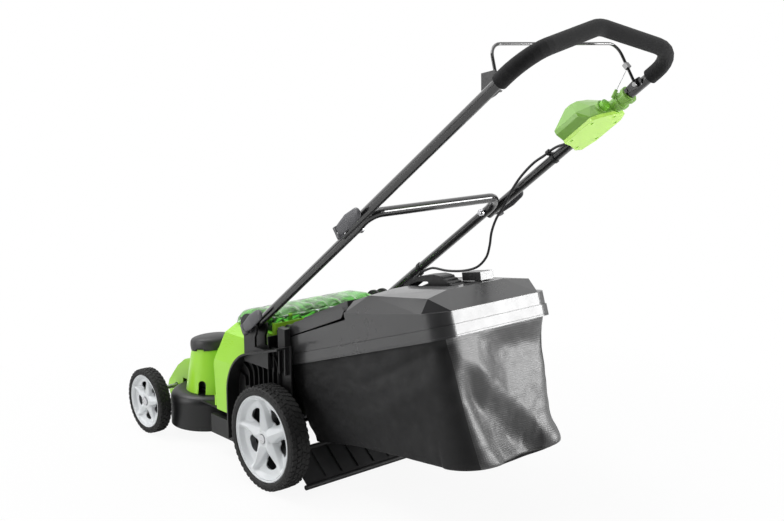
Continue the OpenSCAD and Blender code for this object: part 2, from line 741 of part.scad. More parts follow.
module trail_bar() {
    color([0.07, 0.07, 0.08]) in_place() difference() {
        x_cyl(-218, 218, shield_tip, 6);
        side_extrude(-shield_wide - part_gap, shield_wide + part_gap) translate(shield_pin)
            rotate(atan2(shield_tip[1] - shield_pin[1], shield_tip[0] - shield_pin[0]))
            translate([0, -1.5]) square([norm(shield_tip - shield_pin) - 4, 3]);
    }
}

// ---------- handle

cross_s = fold_s + 60;    // place of the lower handle's crossbar along the tubes
cross_h = 6;
bail_s = grip_s - 107;    // place of the bail's pivots along the tubes
foam_s = grip_s - 81;     // where the foam starts
peak_s = grip_s + 12;
peak_h = 53;

module lower_handle() {
    pts = [[lower_x, -14, 0], [lower_x, fold_s + 16, 0], [lower_x, cross_s, cross_h],
        [-lower_x, cross_s, cross_h], [-lower_x, fold_s + 16, 0], [-lower_x, -14, 0]];
    color([0.06, 0.06, 0.07]) on_handle() difference() {
        bent_tube(pts, [0, 50, 36, 36, 50, 0], tube_r, tube_r - tube_wall);
        for (s = [0, fold_s]) x_cyl(-lower_x - 20, lower_x + 20, [s, 0], bolt_r + run_gap);
    }
}

// The upper handle's route from one cut end to the other, starting at length s.
function upper_route(s) = [[upper_x, s, 0], [upper_x, grip_s, 0], [0, peak_s, peak_h],
    [-upper_x, grip_s, 0], [-upper_x, s, 0]];
upper_bends = [0, 66, 70, 66, 0];

module upper_handle() {
    color([0.06, 0.06, 0.07]) on_handle() difference() {
        bent_tube(upper_route(fold_s - 15), upper_bends, tube_r, tube_r - tube_wall);
        x_cyl(-upper_x - 20, upper_x + 20, [fold_s, 0], bolt_r + run_gap);
    }
}

module foam_grip() {
    color([0.14, 0.14, 0.14]) on_handle()
        bent_tube(upper_route(foam_s), upper_bends, foam_r, tube_r + 0.1);
}

// A through bolt along X with a domed head and a nut, on the left side.
module clamp_bolt(x0, x1) {
    x_cyl(x0, x1, [0, 0], bolt_r);
    x_cyl(x0 - 7, x0, [0, 0], 8);
    x_cyl(x0 - 11, x0 - 7, [0, 0], 5);
}

cam_r = 8;        // radius of a cam lever's cam

module pivot_bolts() {
    x0 = lower_x - tube_r - 1.4 - ear_t;
    x1 = lower_x + tube_r + 1.4 + ear_t;
    color([0.7, 0.7, 0.72]) on_handle() both_sides() {
        clamp_bolt(x0, x1 + 3 + cam_r);
        x_cyl(x1, x1 + 3, [0, 0], 10);
    }
}

module fold_bolts() {
    x0 = lower_x - tube_r - 0.4;
    x1 = upper_x + tube_r + 0.4;
    color([0.7, 0.7, 0.72]) on_handle() both_sides() translate([0, fold_s, 0]) {
        clamp_bolt(x0, x1 + 3 + cam_r);
        x_cyl(x1, x1 + 3, [0, 0], 10);
    }
}

// A quick-release cam lever on the left: x0 is its clamping face, s its place on the handle.
module cam_lever(x0, s) {
    reach = 92;
    translate([x0 + cam_r, s, 0]) difference() {
        union() {
            cylinder(h = 26, r = cam_r, center = true);
            hull() {
                translate([1, 10, 2]) scale([0.45, 1, 1]) sphere(13, $fn = 24);
                translate([3, reach * 0.5, 2]) scale([0.45, 1, 1]) sphere(16, $fn = 24);
                translate([2, reach - 14, 1]) scale([0.45, 1, 1]) sphere(13, $fn = 24);
            }
        }
        // slot for the bolt's eye
        translate([-cam_r - 1, -cam_r - 1, -bolt_r - 0.4]) cube([2 * cam_r, 2 * cam_r - 2, 2 * bolt_r + 0.8]);
        translate([-20, cam_r, -20]) cube([20 - cam_r + 2.5, 100, 40]);
    }
}
module cam_lower_left() {
    color([0.4, 0.4, 0.42]) on_handle() cam_lever(lower_x + tube_r + 1.7 + ear_t + 3, 0);
}
module cam_lower_right() {
    color([0.4, 0.4, 0.42]) on_handle() mirror([1, 0, 0]) cam_lever(lower_x + tube_r + 1.7 + ear_t + 3, 0);
}
module cam_upper_left() {
    color([0.4, 0.4, 0.42]) on_handle() cam_lever(upper_x + tube_r + 0.7 + 3, fold_s);
}
module cam_upper_right() {
    color([0.4, 0.4, 0.42]) on_handle() mirror([1, 0, 0]) cam_lever(upper_x + tube_r + 0.7 + 3, fold_s);
}

// ---------- bail, switch box and cable

bail_r = 3.2;
bail_x = upper_x - tube_r - 10;
bail_top = [upper_x - 36, bail_s + 18, 89];
clip_pt = [27.8 - upper_x, bail_s + 8, 40];
wire_top = clip_pt - [5.7, 0, 0];
wire_end = [19 - upper_x, bail_s - 49, 17];

module bail() {
    pts = [[bail_x + 1, bail_s, 0], bail_top, [-bail_top.x, bail_top.y, bail_top.z], [-bail_x - 1, bail_s, 0]];
    color([0.08, 0.08, 0.09]) on_handle() {
        bent_tube(pts, [0, 32, 32, 0], bail_r, 0, 16);
        both_sides() {
            x_cyl(bail_x - 4, upper_x - tube_r - 1, [bail_s, 0], bail_r + 0.5);
            x_cyl(bail_x - 4, bail_x + 4, [bail_s, 0], bail_r + 1.6);
        }
        // clip that holds the pull wire
        translate(clip_pt) rotate([11, 0, 0]) difference() {
            translate([-6, -5, -6]) cube([12, 10, 12]);
            translate([-7, -8, -3.4]) cube([3.8, 11.5, 5]);
        }
    }
}

module bail_brackets() {
    t = 4;
    x0 = upper_x - tube_r - 0.4;
    foot = [[bail_s + 15, 2], [bail_s + 8, -7], [bail_s - 8, -7], [bail_s - 24, -4]];
    tall = [[bail_s - 35, 1], [bail_s - 34, 14], [bail_s - 12, 45], [bail_s + 20, 30]];
    low = [[bail_s - 35, 1], [bail_s - 33, 9], [bail_s - 4, 12], [bail_s + 12, 10]];
    color([0.1, 0.1, 0.11]) on_handle() for (s = [-1, 1]) scale([s, 1, 1]) difference() {
        union() {
            // the left bracket stands up as a guard, the right one is low
            side_extrude(x0 - t, x0) polygon(concat(s > 0 ? tall : low, foot));
            // screw that holds the bracket
            x_cyl(x0 - t - 2, x0 - t + 1, [bail_s - 30, 4], 5);
            x_cyl(x0 - 1, x0 + 0.4, [bail_s - 30, 4], 3);
        }
        x_cyl(x0 - t - 3, x0 + 1, [bail_s, 0], bail_r + 0.5 + run_gap);
        // room for the switch box's collar
        translate([upper_x, box_s1 - 20, 0]) rotate([-90, 0, 0]) cylinder(h = 67, r = 19.4);
    }
}

module bail_wire() {
    color([0.6, 0.6, 0.6]) on_handle() {
        rod(wire_top, wire_end, 0.8);
        translate(wire_top) sphere(1.3);
    }
}

box_s0 = grip_s - 328;    // lower end of the switch box along the handle
box_s1 = box_s0 + 141;
box_floor = -20;
box_split = -12;
// Plan outline of the switch box, inset by g; x counts from the right tube towards the middle.
function box_plan(g) = [[4, box_s0 + g], [40 - g, box_s0 + 21 + g], [72 - g, box_s0 + 34 + g], [72 - g, box_s1 - 19 - g],
    [56 - g, box_s1 - 10 - g], [20 - g, box_s1 - g], [-18 + g, box_s1 - g], [-32 + g, box_s1 - 25 - g],
    [-32 + g, box_s0 + 36 + g], [-19 + g, box_s0 + g]];
module at_right_tube() {
    translate([-upper_x, 0, 0]) children();
}

// The shell's outer form, inset by g: floor outline, bulging middle and smaller roof.
module shell_form(g) {
    hull() {
        translate([0, 0, box_split + (g > 0 ? -1 : 0.2)]) linear_extrude(2) polygon(box_plan(g));
        translate([0, 0, 4]) linear_extrude(10) polygon([[-2, box_s0 + g], [44 - g, box_s0 + 15 + g],
            [82 - g, box_s0 + 32 + g], [82 - g, box_s1 - 38 - g], [56 - g, box_s1 - 16 - g], [20 - g, box_s1 - 3 - g],
            [-18 + g, box_s1 - 3 - g], [-32 + g, box_s1 - 28 - g], [-32 + g, box_s0 + 30 + g], [-20 + g, box_s0 + g]]);
        translate([0, 0, 42]) linear_extrude(8 - g) polygon([[6, box_s0 + 40 + g], [40 - g, box_s0 + 48 + g],
            [50 - g, box_s0 + 60 + g], [50 - g, box_s1 - 64 - g], [40 - g, box_s1 - 52 - g], [8, box_s1 - 48 - g],
            [-18 + g, box_s1 - 54 - g], [-18 + g, box_s0 + 52 + g]]);
    }
}
button_at = [34, box_s1 - 26, 4];

module switch_shell() {
    skin = 3;
    color([0.35, 0.7, 0.12]) on_handle() at_right_tube() difference() {
        union() {
            difference() {
                shell_form(0);
                shell_form(skin);
            }
            // collar round the tube, with two rings
            translate([0, box_s1 - 4, 0]) rotate([-90, 0, 0]) cylinder(h = 50, r = 16);
            for (s = [14, 36]) translate([0, box_s1 + s, 0]) rotate([-90, 0, 0]) cylinder(h = 8, r = 19);
            // sleeve of the start button
            translate(button_at + [0, 6, 0]) rotate([-90, 0, 0]) cylinder(h = 16, r = 15);
            // guide of the pull wire
            rod(wire_in - wire_dir * 16, wire_in + wire_dir * 3, 3.6);
        }
        translate([0, box_s0 - 10, 0]) rotate([-90, 0, 0]) cylinder(h = 300, r = tube_r + 0.05);
        translate(button_at - [0, 8, 0]) rotate([-90, 0, 0]) cylinder(h = 40, r = 11.4);
        rod(wire_in - wire_dir * 2, wire_in + wire_dir * 6, 1.3);
        // room for the plate under the collar's end, and the cable's way in
        translate([-40, box_s0, box_floor]) cube([100, box_s1 - box_s0 + part_gap, box_split - box_floor + 0.2]);
        rod([24.7, box_s0 + 18, -7.3], [22.2, box_s0 - 13, 3.2], cable_r + 0.4);
    }
}
wire_in = wire_end + [upper_x, 0, 0];
wire_dir = unit(wire_top - wire_end);

module switch_plate() {
    color([0.7, 0.95, 0.3]) on_handle() at_right_tube() {
        difference() {
            translate([0, 0, box_floor]) linear_extrude(box_split - box_floor) polygon(box_plan(0));
            translate([0, box_s0 - 10, 0]) rotate([-90, 0, 0]) cylinder(h = 300, r = tube_r + 0.05);
            // screw wells
            for (p = box_screws) translate([p[0], p[1], box_floor - 1]) cylinder(h = 5, r = 4);
        }
        for (p = box_screws) translate([p[0], p[1], box_floor + 1.5]) cylinder(h = 2.5, r = 3.2);
    }
}
box_screws = [[-22, box_s0 + 46], [-22, box_s1 - 34], [10, box_s0 + 12], [60, box_s0 + 44],
    [60, box_s1 - 32], [8, box_s1 - 10]];

module start_button() {
    color([0.45, 0.8, 0.2]) on_handle() at_right_tube() translate(button_at) rotate([-90, 0, 0]) {
        cylinder(h = 32, r = 11);
        cylinder(h = 4, r = 13);
    }
}

cable_r = 3;
// Points on a smooth curve through the given ones, four to a span.
function smooth(p) = let (last = len(p) - 1) concat(
    [for (i = [0:last - 1]) let (a = p[max(i - 1, 0)], b = p[i], c = p[i + 1], d = p[min(i + 2, last)])
        for (t = [0:0.25:0.9]) 0.5 * (2 * b + (c - a) * t + (2 * a - 5 * b + 4 * c - d) * t * t
            + (3 * b - a - 3 * c + d) * t * t * t)], [p[last]]);

// All three stretches are in the handle's frame: sideways, along the tubes, square to them.
cable_x = 12 - upper_x;   // where the cable lies beside the upper right tube
cable_s = box_s0 - 77;    // where it leaves that tube
cable_on_upper = [[cable_x + 12, cable_s + 85, -4], [cable_x + 11, cable_s + 70, 1], [cable_x + 7, cable_s + 52, 8],
    [cable_x + 3, cable_s + 30, 13], [cable_x, cable_s, 15.5]];
cable_hanging = [[cable_x, cable_s, 15.5], [cable_x + 4, cable_s - 32, 17], [-204, 624, 11], [-200, 583, -2], [-198, 544, -19],
    [-196, 505, -33], [-195, 474, -52], [-195, 450, -75], [-194, 424, -93], [-192, 386, -98], [-190, 341, -84],
    [-190, 291, -57], [-191, 249, -27], [-192, 214, -17]];
cable_down = [[-192, 214, -17], [-192.5, 180, -15.5], [-191, 140, -16], [-186, 100, -18], [-181, 72, -24],
    [-179.5, 48, -29], [-179.5, 33.2, -32.4], [-179.5, 28.1, -39.3]];

cable_path = smooth([for (part = [cable_on_upper, cable_hanging, cable_down]) for (i = [1:len(part) - 1])
    each (i == 1 && part == cable_on_upper) ? [part[0], part[1]] : [part[i]]]);
loop_from = 4 * (len(cable_on_upper) - 1);
loop_to = loop_from + 4 * (len(cable_hanging) - 1);

// The cable between two of its path's points; neighbouring stretches share an end face.
module cable(from, to) {
    last = len(cable_path) - 1;
    sweep([for (i = [from:to])
        [cable_path[i], unit(cable_path[min(i + 1, last)] - cable_path[max(i - 1, 0)])]], cable_r, 10);
}

module cable_upper() {
    color([0.08, 0.08, 0.08]) on_handle() cable(0, loop_from);
}
module cable_loop() {
    color([0.08, 0.08, 0.08]) on_handle() cable(loop_from, loop_to);
}
module cable_lower() {
    color([0.08, 0.08, 0.08]) on_handle() cable(loop_to, len(cable_path) - 1);
}

// A spring clip that holds the cable to a tube: tube and lead are its and the cable's centres.
module cable_clip(tube, lead) {
    w = 9;
    gap = lead - tube;
    turn = atan2(gap.z, gap.x);
    translate(tube) rotate([0, -turn, 0]) difference() {
        union() {
            rotate([-90, 0, 0]) cylinder(h = w, r = tube_r + 2);
            translate([norm([gap.x, gap.z]), 0, 0]) rotate([-90, 0, 0]) cylinder(h = w, r = cable_r + 3);
            translate([0, 0, -3]) cube([norm([gap.x, gap.z]), w, 6]);
        }
        translate([0, -1, 0]) rotate([-90, 0, 0]) cylinder(h = w + 2, r = tube_r + 0.05);
        translate([norm([gap.x, gap.z]), -1, 0]) rotate([-90, 0, 0]) cylinder(h = w + 2, r = cable_r + 1.2);
        translate([-40, -1, -6]) cube([40 - 2, w + 2, 12]);
    }
}
module cable_clip_upper() {
    color([0.1, 0.1, 0.11]) on_handle() cable_clip([-upper_x, cable_s + 12, 0], [cable_x + 0.8, cable_s + 12, 14.6]);
}
module cable_clip_lower() {
    color([0.1, 0.1, 0.11]) on_handle() cable_clip([-lower_x, 196, 0], [-192.3, 196, -16.1]);
}

// ---------- grass bag

// Plan outline of the bag, grown by g: square front, rounded rear corners.
module bag_plan(g) {
    corner = 46;
    x = bag_half + g;
    y1 = bag_len + g;
    translate([-x, -g]) square([2 * x, y1 + g - corner]);
    translate([-x + corner, -g]) square([2 * (x - corner), y1 + g]);
    for (s = [-1, 1]) translate([s * (x - corner), y1 - corner]) circle(corner);
}

// A small ball on both sides of the middle.
module side_balls(x, u, w, r) {
    for (s = [-1, 1]) translate([s * x, u, w]) sphere(r, $fn = 20);
}

// The lid's outer form, drawn inset by g: a low front under the door and a raised, crowned rear.
module lid_form(g) {
    half = bag_half - g;
    end = bag_len;
    side_extrude(-half, half) polygon([[g, -10], [g, 34 - g], [5 + g, 39 - g], [274, 55 - g], [274, -10]]);
    intersection() {
        side_extrude(-half, half) polygon([[262 + g, -10], [262 + g, 68 - g], [end - g, 28 - g], [end, -10]]);
        translate([0, 0, -20]) linear_extrude(140) bag_plan(-g);
    }
    hull() {
        side_extrude(-half, half)
            polygon([[261 + g, -10], [261 + g, 69 - g], [end - 48, 32 - g], [end - 48, -10]]);
        side_extrude(-half + 44, half - 44) polygon([[300, -10], [300, 50], [end - 0.4 - g, 28 - g], [end - 0.4 - g, -10]]);
        side_extrude(-half + 21, half - 21) polygon([[279 + g, 92 - g], [335, 96 - g], [end - 40, 62 - g], [300, 50]]);
        side_extrude(-half + 90, half - 90) polygon([[286 + g, 95 - g], [340, 101 - g], [end - 50, 73 - g], [300, 50]]);
    }
}

module bag_lid() {
    color([0.2, 0.2, 0.22]) on_bag() difference() {
        union() {
            difference() {
                lid_form(0);
                lid_form(wall);
            }
            // tub under the carrying grip
            intersection() {
                lid_form(0);
                translate([-44, 282, 46]) cube([88, 196, 60]);
            }
        }
        translate([-40, 286, 56]) cube([80, 188, 60]);
        translate([-bag_half - 5, -5, -30]) cube([2 * bag_half + 10, bag_len + 20, 30.3]);
        // mouth
        translate([-132, -10, -20]) cube([264, 40, 46]);
    }
}

module bag_band() {
    color([0.24, 0.24, 0.26]) on_bag() translate([0, 0, -26]) difference() {
        linear_extrude(26) bag_plan(2);
        translate([0, 0, -1]) linear_extrude(28) bag_plan(-3);
        translate([-132, -20, -2]) cube([264, 40, 40]);
    }
}

module bag_grip() {
    half = 19;
    color([0.12, 0.12, 0.13]) on_bag() {
        side_extrude(-half, half) polygon([[286.3, 96], [300, 107], [326, 116], [367, 117], [406, 113], [424, 107],
            [464, 73], [473.7, 73], [473.7, 56.3], [462, 56.3], [440, 62], [404, 74], [390, 86], [381, 101],
            [351, 106], [326, 104], [304, 97], [292, 84], [292, 56.3], [286.3, 56.3]]);
        // finger ribs on the sloping end
        for (i = [0:3]) side_extrude(-half, half)
            translate([428 + i * 9, 103.6 - i * 7.65]) rotate(-40) translate([0, -2]) square([4, 4]);
    }
}

// The flap that shows when the bag is full: a hooded block on the lid.
module bag_flap() {
    color([0.3, 0.3, 0.32]) on_bag() translate([-80, 432, 86.5]) rotate([-8, 0, 0]) difference() {
        cube([40, 58, 19]);
        translate([3, -1, -1]) cube([34, 56, 17]);
    }
}

// The sewn body of the bag, inset by g.
module fabric_form(g) {
    r = 14;
    hull() {
        for (u = [r + 4 + g, bag_len - 60]) side_balls(bag_half - 6 - r - g, u, -26.4 - r - g * 2 + (g > 0 ? 12 : 0), r);
        side_balls(bag_half - 30 - r - g, bag_len - 14 - r - g, -26.4 - r + (g > 0 ? 6 : 0), r);
        side_balls(bag_half - 16 - r - g, 20 + r + g, -218 + r + g, r);
        side_balls(bag_half - 14 - r - g, 330, -268 + r + g, r);
        side_balls(bag_half - 34 - r - g, bag_len - 30 - r - g, -bag_deep + r + g, r);
    }
}

module bag_fabric() {
    color([0.1, 0.1, 0.1]) on_bag() difference() {
        fabric_form(0);
        fabric_form(3);
        translate([-bag_half - 5, -20, -26.4]) cube([2 * bag_half + 10, bag_len + 40, 60]);
        translate([-128.4, -10, -176.4]) cube([256.8, 60, 156.4]);
        translate([-bag_half + 16, 34, -60]) cube([2 * bag_half - 32, bag_len - 90, 60]);
    }
}

// The stiff frame that holds the bag's mouth open.
module bag_frame() {
    color([0.15, 0.15, 0.16]) on_bag() difference() {
        translate([-128, 2, -176]) cube([256, 10, 175.6]);
        translate([-116, -5, -168]) cube([232, 30, 172]);
    }
}

deck();
shroud();
motor_cap_left();
motor_cap_right();
battery_cover();
battery_left();
battery_right();
safety_key();
controller_board();
motor_left();
motor_right();
rotor_left();
rotor_right();
blade_left();
blade_right();
front_axle();
rear_axle();
axle_nuts_front();
axle_nuts_rear();
height_link();
height_lever();
tyre_rear_left();
tyre_rear_right();
tyre_front_left();
tyre_front_right();
rim_rear_left();
rim_rear_right();
rim_front_left();
rim_front_right();
rear_door();
hinge_rods();
door_spring();
trail_shield();
trail_bar();
lower_handle();
upper_handle();
foam_grip();
pivot_bolts();
fold_bolts();
cam_lower_left();
cam_lower_right();
cam_upper_left();
cam_upper_right();
bail();
bail_brackets();
bail_wire();
switch_shell();
switch_plate();
start_button();
cable_upper();
cable_loop();
cable_lower();
cable_clip_upper();
cable_clip_lower();
bag_lid();
bag_band();
bag_grip();
bag_flap();
bag_fabric();
bag_frame();
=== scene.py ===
import json
import math

import bmesh
import bpy
from mathutils import Matrix, Vector, noise


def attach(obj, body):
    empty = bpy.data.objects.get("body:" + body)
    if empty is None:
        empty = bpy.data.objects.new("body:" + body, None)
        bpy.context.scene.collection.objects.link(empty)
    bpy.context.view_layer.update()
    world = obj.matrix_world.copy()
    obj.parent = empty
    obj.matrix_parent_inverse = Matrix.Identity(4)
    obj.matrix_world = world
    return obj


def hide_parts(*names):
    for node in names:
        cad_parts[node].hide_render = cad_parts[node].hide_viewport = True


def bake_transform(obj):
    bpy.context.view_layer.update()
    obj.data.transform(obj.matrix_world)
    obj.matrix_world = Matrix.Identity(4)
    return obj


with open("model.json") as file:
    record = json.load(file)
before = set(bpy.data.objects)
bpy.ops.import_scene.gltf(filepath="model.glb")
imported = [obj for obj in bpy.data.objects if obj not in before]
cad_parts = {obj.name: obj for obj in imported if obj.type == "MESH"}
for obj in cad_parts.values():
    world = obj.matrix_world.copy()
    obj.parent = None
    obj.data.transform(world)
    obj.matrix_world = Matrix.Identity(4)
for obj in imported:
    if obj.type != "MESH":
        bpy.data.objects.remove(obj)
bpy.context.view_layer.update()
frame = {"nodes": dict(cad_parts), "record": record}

NODES = frame["nodes"]
# bare lengths below are in mm, and so turned into metres with MM; those of textures, lights and the
# camera's place are in metres
MM = 0.001

# ---------------------------------------------------------------- frames

# the rear axle's place along the part's Y axis, in metres; places along Y below are measured from it
AXLE_Y = -0.070154
# the bag's rim rises towards the rear from this point, and the handle's tubes from the next
BAG_ANGLE = math.radians(17.8)
BAG_Y, BAG_Z = -26 * MM, 310 * MM
HANDLE_ANGLE = math.radians(36.8)
HANDLE_Y, HANDLE_Z = -112 * MM, 368 * MM
SIDES = (("left", 1), ("right", -1))


def bag_point(x, u, w):
    """A point of the bag's frame (across, along its rim, square to it), in mm, in the part's frame."""
    u, w = u * MM, w * MM
    return Vector((x * MM, AXLE_Y + BAG_Y + u * math.cos(BAG_ANGLE) - w * math.sin(BAG_ANGLE),
                   BAG_Z + u * math.sin(BAG_ANGLE) + w * math.cos(BAG_ANGLE)))


def handle_point(x, s, h):
    """A point of the handle's frame (across, along its tubes, square to them), in mm, in the part's frame."""
    s, h = s * MM, h * MM
    return Vector((x * MM, AXLE_Y + HANDLE_Y + s * math.cos(HANDLE_ANGLE) - h * math.sin(HANDLE_ANGLE),
                   HANDLE_Z + s * math.sin(HANDLE_ANGLE) + h * math.cos(HANDLE_ANGLE)))


def smoothstep(t):
    t = max(0.0, min(1.0, t))
    return t * t * (3 - 2 * t)


def lerp(a, b, t):
    return a + (b - a) * t


# ---------------------------------------------------------------- materials

def srgb(r, g, b):
    """Linear colour of an sRGB value from 0 to 255."""
    return tuple(c / 255 / 12.92 if c <= 10 else ((c / 255 + 0.055) / 1.055) ** 2.4 for c in (r, g, b)) + (1,)


class Nodes:
    """The node tree of a material or a world, and short ways to fill it."""

    def __init__(self, owner):
        owner.use_nodes = True
        self.t = owner.node_tree
        self.t.nodes.clear()

    def n(self, kind, **props):
        node = self.t.nodes.new(kind)
        for k, v in props.items():
            setattr(node, k, v)
        return node

    def link(self, a, b):
        self.t.links.new(a, b)

    def remap(self, value, a, b, to_a, to_b):
        node = self.n("ShaderNodeMapRange")
        for key, v in zip(("From Min", "From Max", "To Min", "To Max"), (a, b, to_a, to_b)):
            node.inputs[key].default_value = v
        self.link(value, node.inputs["Value"])
        return node.outputs["Result"]

    def math(self, op, a, b=None):
        node = self.n("ShaderNodeMath", operation=op)
        for i, v in enumerate((a, b)):
            if v is None:
                continue
            if isinstance(v, (int, float)):
                node.inputs[i].default_value = v
            else:
                self.link(v, node.inputs[i])
        return node.outputs[0]

    def average(self, a, b):
        return self.math("MULTIPLY", self.math("ADD", a, b), 0.5)

    def mix_shaders(self, fac, a, b):
        node = self.n("ShaderNodeMixShader")
        for value, socket in zip((fac, a, b), node.inputs):
            self.link(value, socket)
        return node.outputs[0]


class Mat(Nodes):
    """A material with a Principled surface, and short ways to add detail to it."""

    def __init__(self, name, color, rough=0.5, **sockets):
        self.m = bpy.data.materials.new(name)
        super().__init__(self.m)
        self.b = self.n("ShaderNodeBsdfPrincipled")
        self.link(self.b.outputs[0], self.n("ShaderNodeOutputMaterial").inputs["Surface"])
        self.b.inputs["Base Color"].default_value = color
        self.b.inputs["Roughness"].default_value = rough
        for key, value in sockets.items():
            self.b.inputs[key.replace("_", " ")].default_value = value
        self.color = color
        self.coord = self.n("ShaderNodeTexCoord").outputs["Object"]
        self.normal = None

    def mapped(self, scale=(1, 1, 1), rotate=(0, 0, 0)):
        node = self.n("ShaderNodeMapping")
        node.inputs["Scale"].default_value = scale
        node.inputs["Rotation"].default_value = rotate
        self.link(self.coord, node.inputs["Vector"])
        return node.outputs["Vector"]

    def noise(self, scale, detail=3, vector=None, rough=0.5):
        node = self.n("ShaderNodeTexNoise")
        node.inputs["Scale"].default_value = scale
        node.inputs["Detail"].default_value = detail
        node.inputs["Roughness"].default_value = rough
        self.link(vector or self.coord, node.inputs["Vector"])
        return node.outputs["Fac"]

    def vary(self, fac, dark, light):
        """The base colour runs from dark to light times itself as fac runs from 0 to 1."""
        ramp = self.n("ShaderNodeMix", data_type="RGBA")
        ramp.inputs[6].default_value = tuple(c * dark for c in self.color[:3]) + (1,)
        ramp.inputs[7].default_value = tuple(min(1, c * light) for c in self.color[:3]) + (1,)
        self.link(fac, ramp.inputs[0])
        self.link(ramp.outputs[2], self.b.inputs["Base Color"])

    def roughness(self, fac, a, b):
        self.link(self.remap(fac, 0.3, 0.7, a, b), self.b.inputs["Roughness"])

    def bevel(self, radius):
        node = self.n("ShaderNodeBevel", samples=4)
        node.inputs["Radius"].default_value = radius
        self.normal = node.outputs[0]
        self.link(self.normal, self.b.inputs["Normal"])

    def bump(self, height, depth, strength=1.0):
        node = self.n("ShaderNodeBump")
        node.inputs["Strength"].default_value = strength
        node.inputs["Distance"].default_value = depth
        self.link(height, node.inputs["Height"])
        if self.normal is not None:
            self.link(self.normal, node.inputs["Normal"])
        self.normal = node.outputs[0]
        self.link(self.normal, self.b.inputs["Normal"])


def moulded(name, color, rough, grain=0.00012, spread=0.12, coat=0.0):
    """Moulded plastic: a fine grain, faint flow marks and softened edges."""
    m = Mat(name, color, rough, Coat_Weight=coat, Coat_Roughness=0.12, IOR=1.5)
    flow = m.noise(7, 2)
    grime = m.noise(46, 5, rough=0.6)
    m.vary(m.average(flow, grime), 1 - spread, 1 + spread)
    marks = m.math("ADD", m.math("MULTIPLY", flow, 0.6), m.math("MULTIPLY", grime, 0.4))
    m.roughness(marks, rough - 0.06, rough + 0.08)
    m.bevel(0.0012)
    m.bump(m.noise(700, 2), grain, 0.5)
    return m.m


def glossy(name, color, rough):
    """Glossy coloured plastic with hair scratches and slight sink marks."""
    m = Mat(name, color, rough, Coat_Weight=0.25, Coat_Roughness=0.08, IOR=1.5)
    flow = m.noise(5, 2)
    m.vary(flow, 0.94, 1.06)
    scratch = m.noise(60, 2, m.mapped((1, 1, 24), (0.3, 0.2, 0.5)))
    m.roughness(m.average(flow, scratch), rough - 0.05, rough + 0.08)
    m.bevel(0.0014)
    m.bump(m.noise(16, 1), 0.0016, 0.15)
    m.bump(scratch, 0.00004, 0.5)
    return m.m


def metal(name, color, rough, metallic=1.0):
    """Metal with fine brushed lines and faint spots."""
    m = Mat(name, color, rough, Metallic=metallic)
    brushed = m.noise(300, 2, m.mapped((1, 1, 30)))
    spots = m.noise(35, 4)
    m.vary(spots, 0.82, 1.08)
    m.roughness(m.average(brushed, spots), rough - 0.08, rough + 0.12)
    m.bevel(0.0006)
    m.bump(brushed, 0.00005, 0.4)
    return m.m


def powder_coat():
    """The tubes' black coat: deep gloss with slightly duller spots."""
    m = Mat("tube_black", srgb(16, 16, 17), 0.22, Coat_Weight=1.0, Coat_Roughness=0.06)
    spots = m.noise(30, 4)
    m.vary(spots, 0.75, 1.2)
    m.roughness(spots, 0.18, 0.3)
    return m.m


def foam():
    """Matt foam with open cells."""
    m = Mat("foam_black", srgb(27, 27, 28), 0.9, Sheen_Weight=0.08, Sheen_Roughness=0.5)
    m.b.inputs["Specular IOR Level"].default_value = 0.3
    cells = m.n("ShaderNodeTexVoronoi")
    cells.inputs["Scale"].default_value = 520
    m.link(m.coord, cells.inputs["Vector"])
    m.vary(m.math("MULTIPLY", m.math("ADD", m.noise(18, 3), cells.outputs["Distance"]), 0.6), 0.6, 1.25)
    m.bump(cells.outputs["Distance"], 0.0005, 0.7)
    m.bump(m.noise(60, 3), 0.0008, 0.25)
    return m.m


def rubber(name, color, rough):
    """Rubber or soft plastic with a dusty surface."""
    m = Mat(name, color, rough, IOR=1.45)
    dust = m.noise(24, 5, rough=0.65)
    m.vary(dust, 0.7, 1.5)
    m.roughness(dust, rough - 0.1, rough + 0.1)
    m.bevel(0.0008)
    m.bump(m.noise(900, 2), 0.0001, 0.5)
    return m.m


def clear_cover():
    """Tinted see-through plastic, slightly wavy."""
    m = Mat("clear_green", (0.42, 0.95, 0.3, 1), 0.05, IOR=1.4, Transmission_Weight=0.96, Coat_Weight=0.5,
            Coat_Roughness=0.03)
    haze = m.noise(14, 3)
    m.roughness(haze, 0.03, 0.1)
    m.vary(haze, 0.9, 1.05)
    m.bump(m.noise(17, 1), 0.01, 0.5)
    return m.m


# the distance between the mesh's ribs, and between the stitches along a rib, in metres
MESH_RIB, MESH_WALE = 0.0046, 0.0031


def cloth_smooth():
    """The side panels: a tight, slightly shiny woven cloth."""
    m = Mat("bag_cloth", srgb(22, 22, 23), 0.55, Sheen_Weight=0.03, Sheen_Roughness=0.4)
    m.b.inputs["Specular IOR Level"].default_value = 0.35
    threads = weave(m, 3000)
    m.vary(m.math("MULTIPLY", m.math("ADD", m.noise(14, 4), threads), 0.55), 0.6, 1.45)
    m.roughness(m.noise(22, 3), 0.55, 0.72)
    m.bump(threads, 0.00018, 0.6)
    m.bump(m.noise(30, 3), 0.0014, 0.3)
    return m.m


def cloth_axes(m):
    """The UV map's two axes, in metres of cloth."""
    parts = m.n("ShaderNodeSeparateXYZ")
    m.link(m.n("ShaderNodeUVMap", uv_map="cloth").outputs[0], parts.inputs[0])
    return parts.outputs[:2]


def weave(m, turn):
    """Height of a plain weave; turn is the angle that its waves run through in a metre, in radians."""
    sx, sy = (m.math("SINE", m.math("MULTIPLY", axis, turn)) for axis in cloth_axes(m))
    return m.remap(m.math("MULTIPLY", sx, sy), -1, 1, 0, 1)


